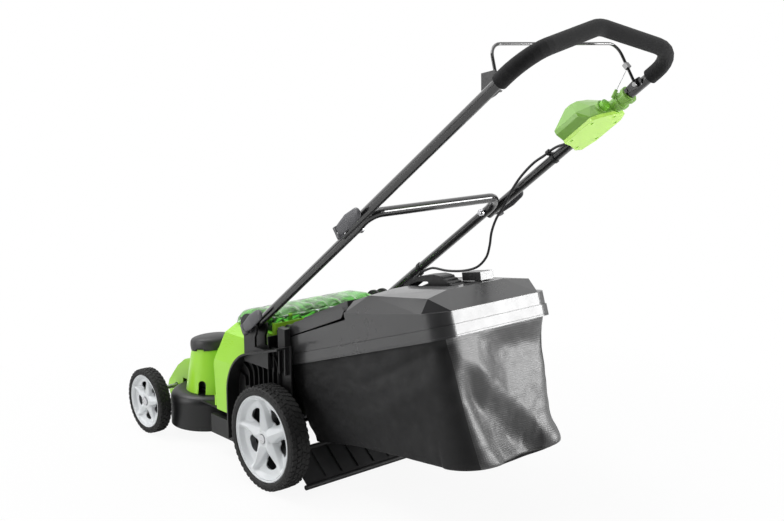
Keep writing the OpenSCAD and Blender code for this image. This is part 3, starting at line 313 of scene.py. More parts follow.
def cloth_ribbed():
    """The rear panel: a ribbed open mesh with a strong sheen."""
    m = Mat("bag_mesh", srgb(38, 38, 39), 0.4, Sheen_Weight=0.06, Sheen_Roughness=0.35, Coat_Weight=0.9,
            Coat_Roughness=0.4)
    along, down = cloth_axes(m)
    wobble = m.math("MULTIPLY", m.noise(30, 2), 0.004)
    rib_turn = m.math("MULTIPLY", m.math("ADD", down, wobble), 2 * math.pi / MESH_RIB)
    ribs = m.remap(m.math("SINE", rib_turn), -1, 1, 0, 1)
    wale_turn = m.math("MULTIPLY", along, 2 * math.pi / MESH_WALE)
    wales = m.remap(m.math("SINE", wale_turn), -1, 1, 0, 1)
    knit = m.math("MULTIPLY", ribs, m.remap(wales, 0, 1, 0.55, 1))
    m.vary(m.math("ADD", m.math("MULTIPLY", knit, 0.8), m.math("MULTIPLY", m.noise(20, 3), 0.25)), 0.3, 1.5)
    m.roughness(knit, 0.5, 0.34)
    m.bump(knit, 0.0006, 0.7)
    return m.m


MATERIALS = {
    "deck_black": moulded("deck_black", srgb(19, 19, 20), 0.42, spread=0.2),
    "shroud_green": glossy("shroud_green", (0.33, 0.68, 0.035, 1), 0.3),
    "cap_grey": moulded("cap_grey", srgb(43, 43, 44), 0.46),
    "clear_green": clear_cover(),
    "battery_case": moulded("battery_case", srgb(14, 26, 17), 0.35),
    "key_red": moulded("key_red", (0.5, 0.02, 0.02, 1), 0.4),
    "board_green": moulded("board_green", (0.02, 0.16, 0.05, 1), 0.35),
    "motor_can": metal("motor_can", (0.25, 0.26, 0.27, 1), 0.4),
    "steel_bright": metal("steel_bright", (0.66, 0.66, 0.68, 1), 0.28),
    "blade_steel": metal("blade_steel", (0.09, 0.09, 0.095, 1), 0.45),
    "axle_steel": metal("axle_steel", (0.42, 0.42, 0.44, 1), 0.38),
    "lever_black": moulded("lever_black", srgb(24, 24, 25), 0.34),
    "tyre_black": rubber("tyre_black", srgb(26, 26, 26), 0.62),
    "rim_silver": moulded("rim_silver", srgb(212, 215, 217), 0.34, grain=0.00004, spread=0.04, coat=0.15),
    "door_grey": moulded("door_grey", srgb(52, 52, 53), 0.3, spread=0.14, coat=0.5),
    "shield_rubber": rubber("shield_rubber", srgb(30, 30, 31), 0.6),
    "tube_black": powder_coat(),
    "foam_black": foam(),
    "cam_grey": moulded("cam_grey", srgb(84, 84, 87), 0.38),
    "switch_green": glossy("switch_green", (0.22, 0.46, 0.07, 1), 0.38),
    "plate_green": glossy("plate_green", (0.58, 0.96, 0.15, 1), 0.36),
    "button_green": glossy("button_green", (0.2, 0.55, 0.04, 1), 0.35),
    "cable_black": rubber("cable_black", srgb(38, 38, 40), 0.5),
    "bag_cloth": cloth_smooth(),
    "bag_mesh": cloth_ribbed(),
    # painted shade: the discs inside the wheels are dark grey to stand for the shade deep inside the wheels,
    # seen through the rims' windows
    "wheel_web": moulded("wheel_web", srgb(58, 59, 60), 0.5),
    "frame_wire": metal("frame_wire", (0.03, 0.03, 0.032, 1), 0.4, metallic=0.3),
}
NODE_SLOT = {s["node"]: s["material_slot"] for s in frame["record"]["subparts"]}

for name, obj in NODES.items():
    obj.data.materials.clear()
    obj.data.materials.append(MATERIALS[NODE_SLOT[name]])


# ---------------------------------------------------------------- mesh helpers

def make_object(name, bm, materials, sharp=None):
    """A smooth-shaded object from a bmesh; edges over the sharp angle, in degrees, stay sharp."""
    mesh = bpy.data.meshes.new(name)
    bm.to_mesh(mesh)
    bm.free()
    for m in materials:
        mesh.materials.append(m)
    mesh.polygons.foreach_set("use_smooth", [True] * len(mesh.polygons))
    if sharp:
        mesh.set_sharp_from_angle(angle=math.radians(sharp))
    mesh.update()
    o = bpy.data.objects.new(name, mesh)
    bpy.context.scene.collection.objects.link(o)
    return o


def wall(o, thickness):
    """Gives a skin its thickness, in mm, on its inner side."""
    solid = o.modifiers.new("Solidify", "SOLIDIFY")
    solid.thickness = thickness * MM
    solid.offset = -1


def bridge(bm, rings, flip=False):
    """Quads between closed rings of vertices."""
    n = len(rings[0])
    for a, b in zip(rings, rings[1:]):
        for i in range(n):
            j = (i + 1) % n
            quad = (a[i], b[i], b[j], a[j]) if not flip else (a[i], a[j], b[j], b[i])
            bm.faces.new(quad)


def polar(r, angle, z):
    """A point about Z in metres, from mm."""
    return (r * MM * math.cos(angle), r * MM * math.sin(angle), z * MM)


def ring_at(bm, r, z, steps):
    """A ring of vertices about Z, with its radius and height in mm."""
    return [bm.verts.new(polar(r, 2 * math.pi * k / steps, z)) for k in range(steps)]


def revolve(bm, profile, steps):
    """A closed surface of revolution about Z through a loop of (radius, z) points, in mm."""
    rings = [ring_at(bm, r, z, steps) for r, z in profile]
    bridge(bm, rings + [rings[0]])


def tube(bm, pts, radius, sides):
    """A round bar with closed ends along pts, all in metres."""
    rings = []
    side = None
    for i, p in enumerate(pts):
        d = (pts[min(i + 1, len(pts) - 1)] - pts[max(i - 1, 0)]).normalized()
        if side is None:
            side = d.orthogonal().normalized()
        side = (side - d * side.dot(d)).normalized()
        up = d.cross(side)
        rings.append([bm.verts.new(p + radius * (math.cos(a) * side + math.sin(a) * up))
                      for a in (2 * math.pi * k / sides for k in range(sides))])
    bridge(bm, rings)
    bm.faces.new(rings[0])
    bm.faces.new(rings[-1][::-1])


# ---------------------------------------------------------------- wheels

# for each pair of wheels: place along Y, tyre radius, rim radius, width and place across, in mm;
# then the tread blocks on one side and the turn of the rim's arms in degrees
WHEELS = (("rear", 0, 127, 105.6, 56, 243, 50, 45), ("front", -546, 89, 73, 38, 256, 40, 30))
TREAD = 2.4
HUB_R, BORE_R = 17.5, 6.3


def lug(bm, r, base, corners):
    """A tread block from radius base out to r; corners are (angle, z) pairs in order."""
    n = len(corners)
    mid_a = sum(a for a, z in corners) / n
    mid_z = sum(z for a, z in corners) / n
    low = [bm.verts.new(polar(base, a, z)) for a, z in corners]
    top = [bm.verts.new(polar(r, mid_a + (a - mid_a) * 0.88, mid_z + (z - mid_z) * 0.93))
           for a, z in corners]
    bm.faces.new(top)
    for i in range(n):
        j = (i + 1) % n
        bm.faces.new((low[i], low[j], top[j], top[i]))


def cleat(bm, r, half, side, start, end, lean):
    """A low bar on the tyre's wall, between two angles and leaning with its radius."""
    low, top = [], []
    for a, rad in ((start, r - 10.4), (end, r - 10.4), (end + lean, r - 4.6), (start + lean, r - 4.6)):
        raised = half + (0.1 if rad < r - 6 else -0.9)
        low.append(bm.verts.new(polar(rad, a, side * (half - 2))))
        top.append(bm.verts.new(polar(rad, a, side * raised)))
    sides = [[low[j], low[(j + 1) % 4], top[(j + 1) % 4], top[j]] for j in range(4)]
    for quad in [top] + sides:
        bm.faces.new(quad[::side])


def make_tyre(name, r, rim_r, w, count):
    """A moulded tyre: rounded carcass with ringed walls and staggered rows of bent tread blocks."""
    bm = bmesh.new()
    base = r - TREAD
    half = w / 2
    profile = [(rim_r, -half + 3.5), (rim_r + 1.5, -half + 1.2), (rim_r + 4, -half),
               (r - 13.5, -half + 0.1), (r - 12.8, -half + 0.9), (r - 11.4, -half + 0.9),
               (r - 10.6, -half + 0.2), (r - 9, -half + 0.7)]
    profile += [(base - 5.6 + 5.6 * math.sin(t), -half + 6.6 - 5.6 * math.cos(t))
                for t in (0.4, 0.75, 1.1, 1.45)]
    loop = profile + [(base, -half * 0.4), (base, half * 0.4)] + [(a, -b) for a, b in reversed(profile)]
    revolve(bm, loop, 144)
    pitch = 2 * math.pi / count
    edge = half - 3.2
    for i in range(count):
        for s in (-1, 1):
            a = (i + (0.5 if s > 0 else 0)) * pitch
            # shoulder block that wraps over the tyre's edge
            shoulder = [(a, s * edge), (a + 0.3 * pitch, s * edge * 1.01), (a + 0.68 * pitch, s * edge),
                        (a + 0.9 * pitch, s * edge * 0.6), (a + 0.5 * pitch, s * edge * 0.52),
                        (a + 0.2 * pitch, s * edge * 0.62)]
            lug(bm, r - 0.7, base - 2.2, shoulder[::s])
            # bent block beside the middle line
            b = a + 0.34 * pitch
            inner = [(b, s * edge * 0.47), (b + 0.42 * pitch, s * edge * 0.42),
                     (b + 0.74 * pitch, s * edge * 0.53), (b + 0.98 * pitch, s * edge * 0.1),
                     (b + 0.6 * pitch, s * edge * 0.03), (b + 0.22 * pitch, s * edge * 0.12)]
            lug(bm, r, base - 0.4, inner[::s])
            for start, end in ((0.1, 0.24), (0.42, 0.56)):
                cleat(bm, r, half, s, a + start * pitch, a + end * pitch, 0.06 * pitch)
    bmesh.ops.recalc_face_normals(bm, faces=bm.faces)
    return make_object(name, bm, [MATERIALS["tyre_black"]], sharp=38)


def rim_windows(rim_r):
    """The middle of each of the rim's five windows, and its direction from the hub."""
    angles = (2 * math.pi / 5 * (k + 0.5) for k in range(5))
    return [(math.cos(a) * 0.6 * rim_r, math.sin(a) * 0.6 * rim_r, math.cos(a), math.sin(a)) for a in angles]


def make_star(name, rim_r, face):
    """The rim's outer side: five ridged arms, and sunken pockets with a window each."""
    bm = bmesh.new()
    lip = rim_r - 5.5
    steps, rows = 300, 46
    fifth = 2 * math.pi / 5
    deep = 0.25 * rim_r
    windows = rim_windows(rim_r)

    def height(r, a):
        arm = fifth / 2 - abs((a % fifth) - fifth / 2)
        side = r * math.sin(arm)
        t = (r - HUB_R) / (lip - HUB_R)
        crest = face - 1.5 - 0.05 * rim_r * smoothstep(t * 1.3) + 0.04 * rim_r * smoothstep((t - 0.6) / 0.4)
        half_w = lerp(0.19, 0.02, max(0, min(1, t)) ** 0.8) * rim_r
        pocket = face - deep * lerp(1, 0.5, smoothstep((t - 0.35) / 0.65))
        z = lerp(crest - 0.55 * side, pocket, smoothstep((side - half_w) / (0.085 * rim_r)))
        z = lerp(z, face - 1.2, smoothstep((t - 0.86) / 0.13))
        return lerp(z, face - 3.5, smoothstep((HUB_R + 8 - r) / 8))

    def depth_in(x, y):
        """Below 1 inside a window, which is a rounded D with its flatter side outwards."""
        best = 9
        for cx, cy, ox, oy in windows:
            u, v = (x - cx) * ox + (y - cy) * oy, -(x - cx) * oy + (y - cy) * ox
            ru = (0.135 if u > 0 else 0.2) * rim_r
            rv = 0.2 * rim_r * (1 + 0.25 * max(-1, min(1, u / (0.2 * rim_r))))
            best = min(best, math.hypot(u / ru, v / rv))
        return best

    rings = [ring_at(bm, lerp(HUB_R, lip, i / rows), 0, steps) for i in range(rows + 1)]
    bridge(bm, rings)
    gone = [f for f in bm.faces if depth_in(*(f.calc_center_median() / MM)[:2]) < 1]
    bmesh.ops.delete(bm, geom=gone, context="FACES")
    for v in bm.verts:
        x, y = v.co.x / MM, v.co.y / MM
        # a vertex on a window's edge moves onto its outline
        if v.is_boundary and HUB_R + 1 < math.hypot(x, y) < lip - 1:
            cx, cy, ox, oy = min(windows, key=lambda q: math.hypot(x - q[0], y - q[1]))
            for _ in range(4):
                d = depth_in(x, y)
                x, y = cx + (x - cx) / d, cy + (y - cy) / d
        v.co = (x * MM, y * MM, height(math.hypot(x, y), math.atan2(y, x)) * MM)
    bmesh.ops.recalc_face_normals(bm, faces=bm.faces)
    if sum(f.normal.z for f in bm.faces) < 0:
        bmesh.ops.reverse_faces(bm, faces=bm.faces)
    star = make_object(name, bm, [MATERIALS["rim_silver"]], sharp=32)
    wall(star, 3.4)
    return star


def make_rim(name, rim_r, w, arm_at):
    """A rim: lip, barrel and hub, with the star on its outer side and a web on its inner side whose dark grey
    is painted shade of the wheel's deep inside, seen through the windows.
    """
    face = w / 2 - 2.5
    half = w / 2
    lip = rim_r - 5.5
    star = make_star(name + "_star", rim_r, face)

    bm = bmesh.new()
    lip_loop = [(rim_r - 0.3, -half + 3), (rim_r - 0.3, half - 3.4), (rim_r - 1.2, half - 2.2),
                (rim_r - 3, half - 1.8), (lip, face - 1.1), (lip - 0.6, face - 3.4), (rim_r - 5, half - 9),
                (rim_r - 5.5, -half + 3)]
    revolve(bm, lip_loop, 160)
    top = face - 3.5
    hub_loop = [(BORE_R, -half + 1.5), (15, -half + 1.5), (18.6, top - 9), (HUB_R + 0.6, top - 0.6),
                (14.6, top + 0.9), (12.6, top + 0.4), (12.2, top - 0.6), (12.2, face - 9), (BORE_R, face - 9)]
    revolve(bm, hub_loop, 96)
    bmesh.ops.recalc_face_normals(bm, faces=bm.faces)
    barrel = make_object(name, bm, [MATERIALS["rim_silver"]], sharp=40)
    star.parent = barrel

    # a disc across the rim's inner side, dark grey as painted shade of the wheel's deep inside behind the
    # windows
    bm = bmesh.new()
    web_loop = [(6.4, -half + 2), (rim_r - 5, -half + 2), (rim_r - 5, -half + 4.5),
                (0.62 * rim_r, -half + 4.5), (0.6 * rim_r, -half + 6.5), (0.32 * rim_r, -half + 6.5),
                (0.3 * rim_r, -half + 4.5), (6.4, -half + 4.5)]
    revolve(bm, web_loop, 96)
    bmesh.ops.recalc_face_normals(bm, faces=bm.faces)
    web = make_object(name + "_web", bm, [MATERIALS["wheel_web"]], sharp=30)
    web.parent = barrel
    barrel.rotation_euler.z = arm_at
    return barrel


def stand_at_axle(o, centre, side):
    """Places a wheel piece that was built about Z with its outer face up."""
    turn = Matrix(((0, 0, side), (0, 1, 0), (-side, 0, 0))).to_4x4()
    o.matrix_world = Matrix.Translation(centre) @ turn @ o.matrix_basis


for row, y, r, rim_r, w, x, count, turn in WHEELS:
    for which, side in SIDES:
        centre = Vector((side * x * MM, AXLE_Y + y * MM, r * MM))
        tyre = make_tyre(f"tread_{row}_{which}", r, rim_r, w, count)
        rim = make_rim(f"wheel_{row}_{which}", rim_r, w, math.radians(turn) * side)
        for o, node in ((tyre, f"tyre_{row}_{which}"), (rim, f"rim_{row}_{which}")):
            stand_at_axle(o, centre, side)
            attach(o, f"wheel_{row}_{which}")
            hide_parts(node)


# ---------------------------------------------------------------- ribs inside the rear wheel arches

# the arch's lining is round about (ARCH_Y, ARCH_Z) and turns into a slope at the bend, in mm
ARCH_R, ARCH_Y, ARCH_Z = 120, -71, 190
BEND_Y, BEND_Z = -103, 305.6
ARCH_SLOPE = math.radians(15.5)
RIB_COUNT, RIB_FIRST_Y, RIB_STEP = 8, -150, 20
# a rib's section: (across, along Y)
RIB_SECTION = ((199.6, -1.6), (208.6, -0.9), (208.6, 0.9), (199.6, 1.6))


def arch_top(y):
    """Height of the arch's lining over the road at y, both in mm."""
    if y < BEND_Y:
        return ARCH_Z + math.sqrt(max(0, ARCH_R ** 2 - (y - ARCH_Y) ** 2))
    return BEND_Z + (y - BEND_Y) * math.tan(ARCH_SLOPE)


def arch_ribs(name, side):
    """Thin upright ribs that lean forward where they meet the arch's lining."""
    bm = bmesh.new()
    for i in range(RIB_COUNT):
        y = RIB_FIRST_Y + i * RIB_STEP
        end = max(-186, y - 26)
        path = [(y, 212), (y, arch_top(y) - 62), (y - 0.5, arch_top(y) - 46)]
        for k in range(1, 7):
            t = k / 6
            path.append((lerp(y - 0.5, end, t ** 1.6), lerp(arch_top(y) - 46, arch_top(end) - 3, t)))
        rings = [[bm.verts.new((side * x * MM, AXLE_Y + (yy + dy) * MM, zz * MM)) for x, dy in RIB_SECTION]
                 for yy, zz in path]
        bridge(bm, rings)
        bm.faces.new(rings[0])
        bm.faces.new(rings[-1])
    bmesh.ops.recalc_face_normals(bm, faces=bm.faces)
    o = make_object(name, bm, [MATERIALS["deck_black"]], sharp=40)
    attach(o, "chassis")


for which, side in SIDES:
    arch_ribs(f"arch_ribs_{which}", side)


# ---------------------------------------------------------------- motor caps

CAP_X, CAP_Y, CAP_Z = 118, -436, 248.4
CAP_LEAN = math.radians(8)


def make_cap(name, side):
    """A low domed cap with a soft edge and a castellated skirt."""
    bm = bmesh.new()
    profile = [(59.4, -12.6), (60.4, -8), (60.8, -2), (60.7, 4), (60, 9.5), (58.6, 13.6), (56.4, 16.8),
               (53.4, 19), (49, 20.8), (43, 22.4), (36, 23.8), (28, 24.8), (19, 25.5), (10, 25.8), (3, 25.9)]
    rings = [ring_at(bm, r, z, 180) for r, z in profile]
    bridge(bm, rings, flip=True)
    bm.faces.new(rings[-1])
    # six notches in the skirt
    gone = []
    for f in bm.faces:
        c = f.calc_center_median() / MM
        turn = math.degrees(math.atan2(c.y, c.x)) % 60
        if c.z < -6.5 and 8.5 < turn < 31.5:
            gone.append(f)
    bmesh.ops.delete(bm, geom=gone, context="FACES")
    bmesh.ops.recalc_face_normals(bm, faces=bm.faces)
    o = make_object(name, bm, [MATERIALS["cap_grey"]], sharp=50)
    wall(o, 2.6)
    place = Vector((side * CAP_X * MM, AXLE_Y + CAP_Y * MM, CAP_Z * MM))
    o.matrix_world = Matrix.Translation(place) @ Matrix.Rotation(CAP_LEAN, 4, "X")
    return o


for which, side in SIDES:
    cap = make_cap(f"cap_{which}", side)
    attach(cap, "chassis")
    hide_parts(f"motor_cap_{which}")


# ---------------------------------------------------------------- clear battery cover

COVER_HALF = 164.8
LOUVRE_PITCH, LOUVRE_DROP = 46.5, 6.5
# the cover's outline from the side: (along Y, height), in mm
COVER_SIDE = ((-250, 348.6), (-247.6, 357), (-245, 366), (-240, 371.5), (-233, 378), (-224, 384.4),
              (-205, 390.4), (-186, 396), (-168, 400.6), (-150, 402), (-134, 403.4), (-116, 404.9),
              (-100, 405.8), (-95, 404.4), (-89, 401.4), (-84.4, 398.6), (-82.6, 392), (-80, 380))


def cover_louvres():
    """The cover's skin: its outline drawn across, with seven shallow louvres that slope to one side."""
    bm = bmesh.new()
    rings = []
    for k in range(151):
        x = lerp(-COVER_HALF, COVER_HALF, k / 150)
        phase = (x / LOUVRE_PITCH + 0.1 * math.sin(x / 31)) % 1
        drop = LOUVRE_DROP * (smoothstep(phase / 0.78) - smoothstep((phase - 0.78) / 0.22))
        end = 9 * (1 - smoothstep((COVER_HALF - abs(x)) / 9)) ** 2
        ring = []
        for y, z in COVER_SIDE:
            low = smoothstep((z - 356) / 24)
            dy = end * (0.6 if y < -200 else -0.25 if y > -100 else 0)
            ring.append(bm.verts.new((x * MM, AXLE_Y + (y + dy) * MM, (z - (drop + end * 0.6) * low) * MM)))
        rings.append(ring)
    for a, b in zip(rings, rings[1:]):
        for i in range(len(COVER_SIDE) - 1):
            bm.faces.new((a[i], a[i + 1], b[i + 1], b[i]))
    bm.faces.new(rings[0])
    bm.faces.new(rings[-1])
    bmesh.ops.recalc_face_normals(bm, faces=bm.faces)
    o = make_object("cover_louvres", bm, [MATERIALS["clear_green"]], sharp=60)
    wall(o, 2.2)
    return o


cover = cover_louvres()
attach(cover, "battery_cover")
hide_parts("battery_cover")


# ---------------------------------------------------------------- grass bag

# the cloth's outline under the band and at the floor: half width, front end, rear end, the radius of
# the front corners and of the rear corners, in mm
CLOTH_TOP = (172, 4, 551, 10, 42)
CLOTH_LOW = (156, 14, 541, 10, 76)
CLOTH_STEP = 7
RIM_LEN = 562
# how far the cloth's upper edge lies below the rim, and the open mouth in the front panel
HEM = 20
MOUTH_HALF, MOUTH_LOW = 123, -172
# the ribbed mesh starts on the rear corners, at this distance from the middle
MESH_HALF = 152
WALL_ROWS, FLOOR_ROWS = 46, 14
FLOOR_MIDDLE = 290


def rounded_plan(half, u0, u1, r_front, r_rear, step):
    """Points round a plan outline, from the middle of its front towards +X: (x, u, part)."""
    pts = []

    def line(a, b, part):
        n = max(2, round(math.dist(a, b) / step))
        pts.extend((lerp(a[0], b[0], i / n), lerp(a[1], b[1], i / n), part) for i in range(n))

    def arc(cx, cu, r, a0, part):
        n = max(5, round(r * math.pi / 2 / step))
        for i in range(n):
            a = a0 + math.pi / 2 * i / n
            pts.append((cx + r * math.cos(a), cu + r * math.sin(a), part))

    line((0, u0), (half - r_front, u0), "front")
    arc(half - r_front, u0 + r_front, r_front, -math.pi / 2, "side")
    line((half, u0 + r_front), (half, u1 - r_rear), "side")
    arc(half - r_rear, u1 - r_rear, r_rear, 0, "corner")
    line((half - r_rear, u1), (-half + r_rear, u1), "rear")
    arc(-half + r_rear, u1 - r_rear, r_rear, math.pi / 2, "corner")
    line((-half, u1 - r_rear), (-half, u0 + r_front), "side")
    arc(-half + r_front, u0 + r_front, r_front, math.pi, "side")
    line((-half + r_front, u0), (0, u0), "front")
    return pts


def split_runs(pts):
    """The outline's points in runs of one part each."""
    runs = [[pts[0]]]
    for a, b in zip(pts, pts[1:]):
        if a[2] != b[2]:
            runs.append([])
        runs[-1].append(b)
    return runs


def bag_floor(u):
    """Height of the bag's lower edge, below its rim and so negative, in mm."""
    known = [(0, -212), (20, -220), (180, -238), (330, -268), (440, -292), (532, -312), (600, -318)]
    for (a, da), (b, db) in zip(known, known[1:]):
        if u <= b:
            return lerp(da, db, (u - a) / (b - a))
    return known[-1][1]


def gauss(x, wide):
    return math.exp(-(x / wide) ** 2)


def rear_relief(s, t):
    """How far the rear panel stands out, in mm; s runs across from the left and t from rim to floor."""
    d = t - (0.06 + 0.87 * s)
    right = smoothstep((s - 0.25) / 0.35)
    tuck = (6 * smoothstep((t - 0.22) / 0.35) - 20 * smoothstep(t / 0.2)) * right
    corner = (1 - smoothstep((s - 0.02) / 0.3)) * smoothstep((t - 0.45) / 0.5)
    fall = -24 * smoothstep((d + 0.02) / 0.36) * (1 - corner)
    foot = 12 * smoothstep((t - 0.8) / 0.2)
    crest = 2 * gauss(d, 0.1) * smoothstep(t / 0.15)
    droop = 5 * gauss(s - 0.17, 0.07) * smoothstep((t - 0.55) / 0.25)
    edge = smoothstep((1.02 - s) / 0.14)
    return (tuck + fall + foot) * lerp(0.2, 1, edge) + (crest + droop) * edge


def side_relief(u, t):
    """The same for a side panel, with u along the rim in mm."""
    s = u / RIM_LEN
    bulge = 9 * math.sin(math.pi * min(1, t * 1.02)) * math.sin(math.pi * max(0, min(1, s)))
    crease = -5 * gauss((t - 0.12) - 0.55 * (0.86 - s), 0.045) * smoothstep((s - 0.45) / 0.25)
    swell = 6 * gauss((t - 0.3) - 0.75 * (0.95 - s), 0.1) * smoothstep((s - 0.4) / 0.3)
    tuck = -8 * gauss(t - 0.93, 0.09) * smoothstep((0.55 - s) / 0.35)
    sag = 3.5 * math.sin(9 * s + 5 * t) * t * (1 - t)
    return bulge + crease + swell + tuck + sag


def panel_relief(x, u, t, part):
    """How far the cloth stands out of its straight wall, in mm."""
    if part == "front":
        return 3 * math.sin(math.pi * t)
    if part == "side":
        return side_relief(u, t)
    half = CLOTH_TOP[0]
    s = (half - x) / (2 * half)
    relief = lerp(side_relief(u, t), rear_relief(s, t), smoothstep((s - 0.03) / 0.16))
    # the lower corners poke out where the seams meet, the right one further
    poke = gauss(abs(x) - 158, 20) * smoothstep((t - 0.7) / 0.3)
    return relief + (9 if x > 0 else 19) * poke


def bag_columns():
    """The wall's columns: (x, u) under the band, (x, u) at the floor, and the panel's part.

    The floor's outline takes the same share of each part, so that columns stay upright."""
    columns = []
    top_runs = split_runs(rounded_plan(*CLOTH_TOP, CLOTH_STEP))
    low_runs = split_runs(rounded_plan(*CLOTH_LOW, CLOTH_STEP))
    for k, (top, low) in enumerate(zip(top_runs, low_runs)):
        low = low + [low_runs[(k + 1) % len(low_runs)][0]]
        for i, (x, u, part) in enumerate(top):
            f = i / len(top) * (len(low) - 1)
            j = min(int(f), len(low) - 2)
            low_x = lerp(low[j][0], low[j + 1][0], f - j)
            low_u = lerp(low[j][1], low[j + 1][1], f - j)
            columns.append((x, u, low_x, low_u, part))
    return columns


def wall_point(columns, i, t):
    """The cloth on column i, t of the way from the band to the floor."""
    x, u, low_x, low_u, part = columns[i]
    before, after = columns[i - 1], columns[(i + 1) % len(columns)]
    out = Vector((after[1] - before[1], before[0] - after[0])).normalized()
    fine = noise.fractal(Vector((x * 0.03, u * 0.03, t * 9)), 1.0, 2.0, 3) * 1.6
    relief = (panel_relief(x, u, t, part) + fine) * smoothstep(t / 0.07)
    # the panel turns under at its foot
    turn = smoothstep((t - 0.93) / 0.07)
    px = (lerp(x, low_x, t) + out.x * relief) * (1 - 0.012 * turn)
    pu = lerp(u, low_u, t) + out.y * relief
    return bag_point(px, pu, -HEM - wall_depth(low_u) * (t - 0.012 * turn))


def wall_depth(u):
    return -bag_floor(u) - HEM


def in_mouth(columns, i, row):
    """Whether a face of the front panel lies in the bag's mouth."""
    x, u, _, _, part = columns[i]
    w = -HEM - wall_depth(u) * (row + 0.5) / WALL_ROWS
    middle = abs(x + columns[(i + 1) % len(columns)][0]) / 2
    return part == "front" and middle < MOUTH_HALF and w > MOUTH_LOW


def make_bag():
    """The cloth: one wall of side and rear panels with folds, and a floor panel that sags a little."""
    bm = bmesh.new()
    uv_layer = bm.loops.layers.uv.new("cloth")
    columns = bag_columns()
    n = len(columns)
    along = [0.0]
    for i in range(n):
        along.append(along[-1] + math.dist(columns[i][:2], columns[(i + 1) % n][:2]) * MM)
    rings, drops = [], []
    for k in range(WALL_ROWS + 1):
        t = k / WALL_ROWS
        rings.append([bm.verts.new(wall_point(columns, i, t)) for i in range(n)])
        drops.append([wall_depth(column[3]) * t * MM for column in columns])
    for k in range(WALL_ROWS):
        for i in range(n):
            if in_mouth(columns, i, k):
                continue
            j = (i + 1) % n
            x, part = columns[i][0], columns[i][4]
            f = bm.faces.new((rings[k][i], rings[k + 1][i], rings[k + 1][j], rings[k][j]))
            f.material_index = 1 if part == "rear" or (part == "corner" and abs(x) < MESH_HALF) else 0
            spots = ((along[i], drops[k][i]), (along[i], drops[k + 1][i]), (along[i + 1], drops[k + 1][j]),
                     (along[i + 1], drops[k][j]))
            for loop, spot in zip(f.loops, spots):
                loop[uv_layer].uv = spot
    # the floor panel, drawn in towards the bag's middle with a slight sag
    inner = rings[-1]
    for k in range(1, FLOOR_ROWS + 1):
        q = 1 - k / FLOOR_ROWS
        ring = []
        for _, _, low_x, low_u, _ in columns:
            fx = low_x * q * 0.985
            fu = FLOOR_MIDDLE + (low_u - FLOOR_MIDDLE) * (1 - (1 - q) ** 1.4 * 0.9)
            dip = 10 * (1 - q * q) + 3 * noise.noise(Vector((fx * 0.02, fu * 0.02, 4)))
            ring.append(bm.verts.new(bag_point(fx, fu, bag_floor(fu) + 2 * q - dip * (0.4 + 0.6 * (1 - q)))))
        for i in range(n):
            j = (i + 1) % n
            f = bm.faces.new((inner[i], ring[i], ring[j], inner[j]))
            for loop in f.loops:
                loop[uv_layer].uv = loop.vert.co[:2]
        inner = ring
    bmesh.ops.remove_doubles(bm, verts=inner, dist=0.0015)
    loose = [v for v in bm.verts if not v.link_faces]
    bmesh.ops.delete(bm, geom=loose, context="VERTS")
    bmesh.ops.recalc_face_normals(bm, faces=bm.faces)
    o = make_object("bag_body", bm, [MATERIALS["bag_cloth"], MATERIALS["bag_mesh"]])
    wall(o, 1.2)
    smooth = o.modifiers.new("Subsurf", "SUBSURF")
    smooth.levels = smooth.render_levels = 1
    return o


bag = make_bag()
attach(bag, "bag")
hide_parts("bag_fabric")


def band_stitches():
    """A row of stitches along the band, one every 4.2 mm, left out where the mouth is."""
    bm = bmesh.new()
    outline = rounded_plan(179.4, -2.4, 564.4, 2, 48, 1.0)
    walked, last = 0.0, outline[0]
    for p in outline:
        walked += math.dist(p[:2], last[:2])
        if walked >= 4.2:
            d = (Vector(p[:2]) - Vector(last[:2])).normalized()
            if p[1] > 12 or abs(p[0]) > 150:
                ends = [bag_point(p[0] + d.x * e, p[1] + d.y * e, -22.3 + 0.25 * (e > 0))
                        for e in (-1.3, 0, 1.3)]
                tube(bm, ends, 0.42 * MM, 6)
            walked = 0.0
        last = p
    return make_object("band_stitches", bm, [MATERIALS["cam_grey"]], sharp=40)


stitches = band_stitches()
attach(stitches, "bag")


# ---------------------------------------------------------------- cable and wire that cross the joints

CABLE_R, WIRE_R = 3, 0.8


def smooth_path(pts, steps):
    """A smooth curve through the points."""
    pts = [Vector(p) for p in pts]
    last = len(pts) - 1
    out = []
    for i in range(last):
        a, b, c, d = pts[max(i - 1, 0)], pts[i], pts[i + 1], pts[min(i + 2, last)]
        for k in range(steps):
            t = k / steps
            out.append(0.5 * (2 * b + (c - a) * t + (2 * a - 5 * b + 4 * c - d) * t * t
                              + (3 * b - a - 3 * c + d) * t ** 3))
    return out + [pts[last]]


def flexible(name, node, path, radius, mat):
    """A lead that bends between two bodies, built as one fixed tube along its path."""
    bm = bmesh.new()
    tube(bm, [handle_point(*p) for p in smooth_path(path, 6)], radius * MM, 14)
    bmesh.ops.recalc_face_normals(bm, faces=bm.faces)
    o = make_object(name, bm, [MATERIALS[mat]], sharp=50)
    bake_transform(o)
    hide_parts(node)


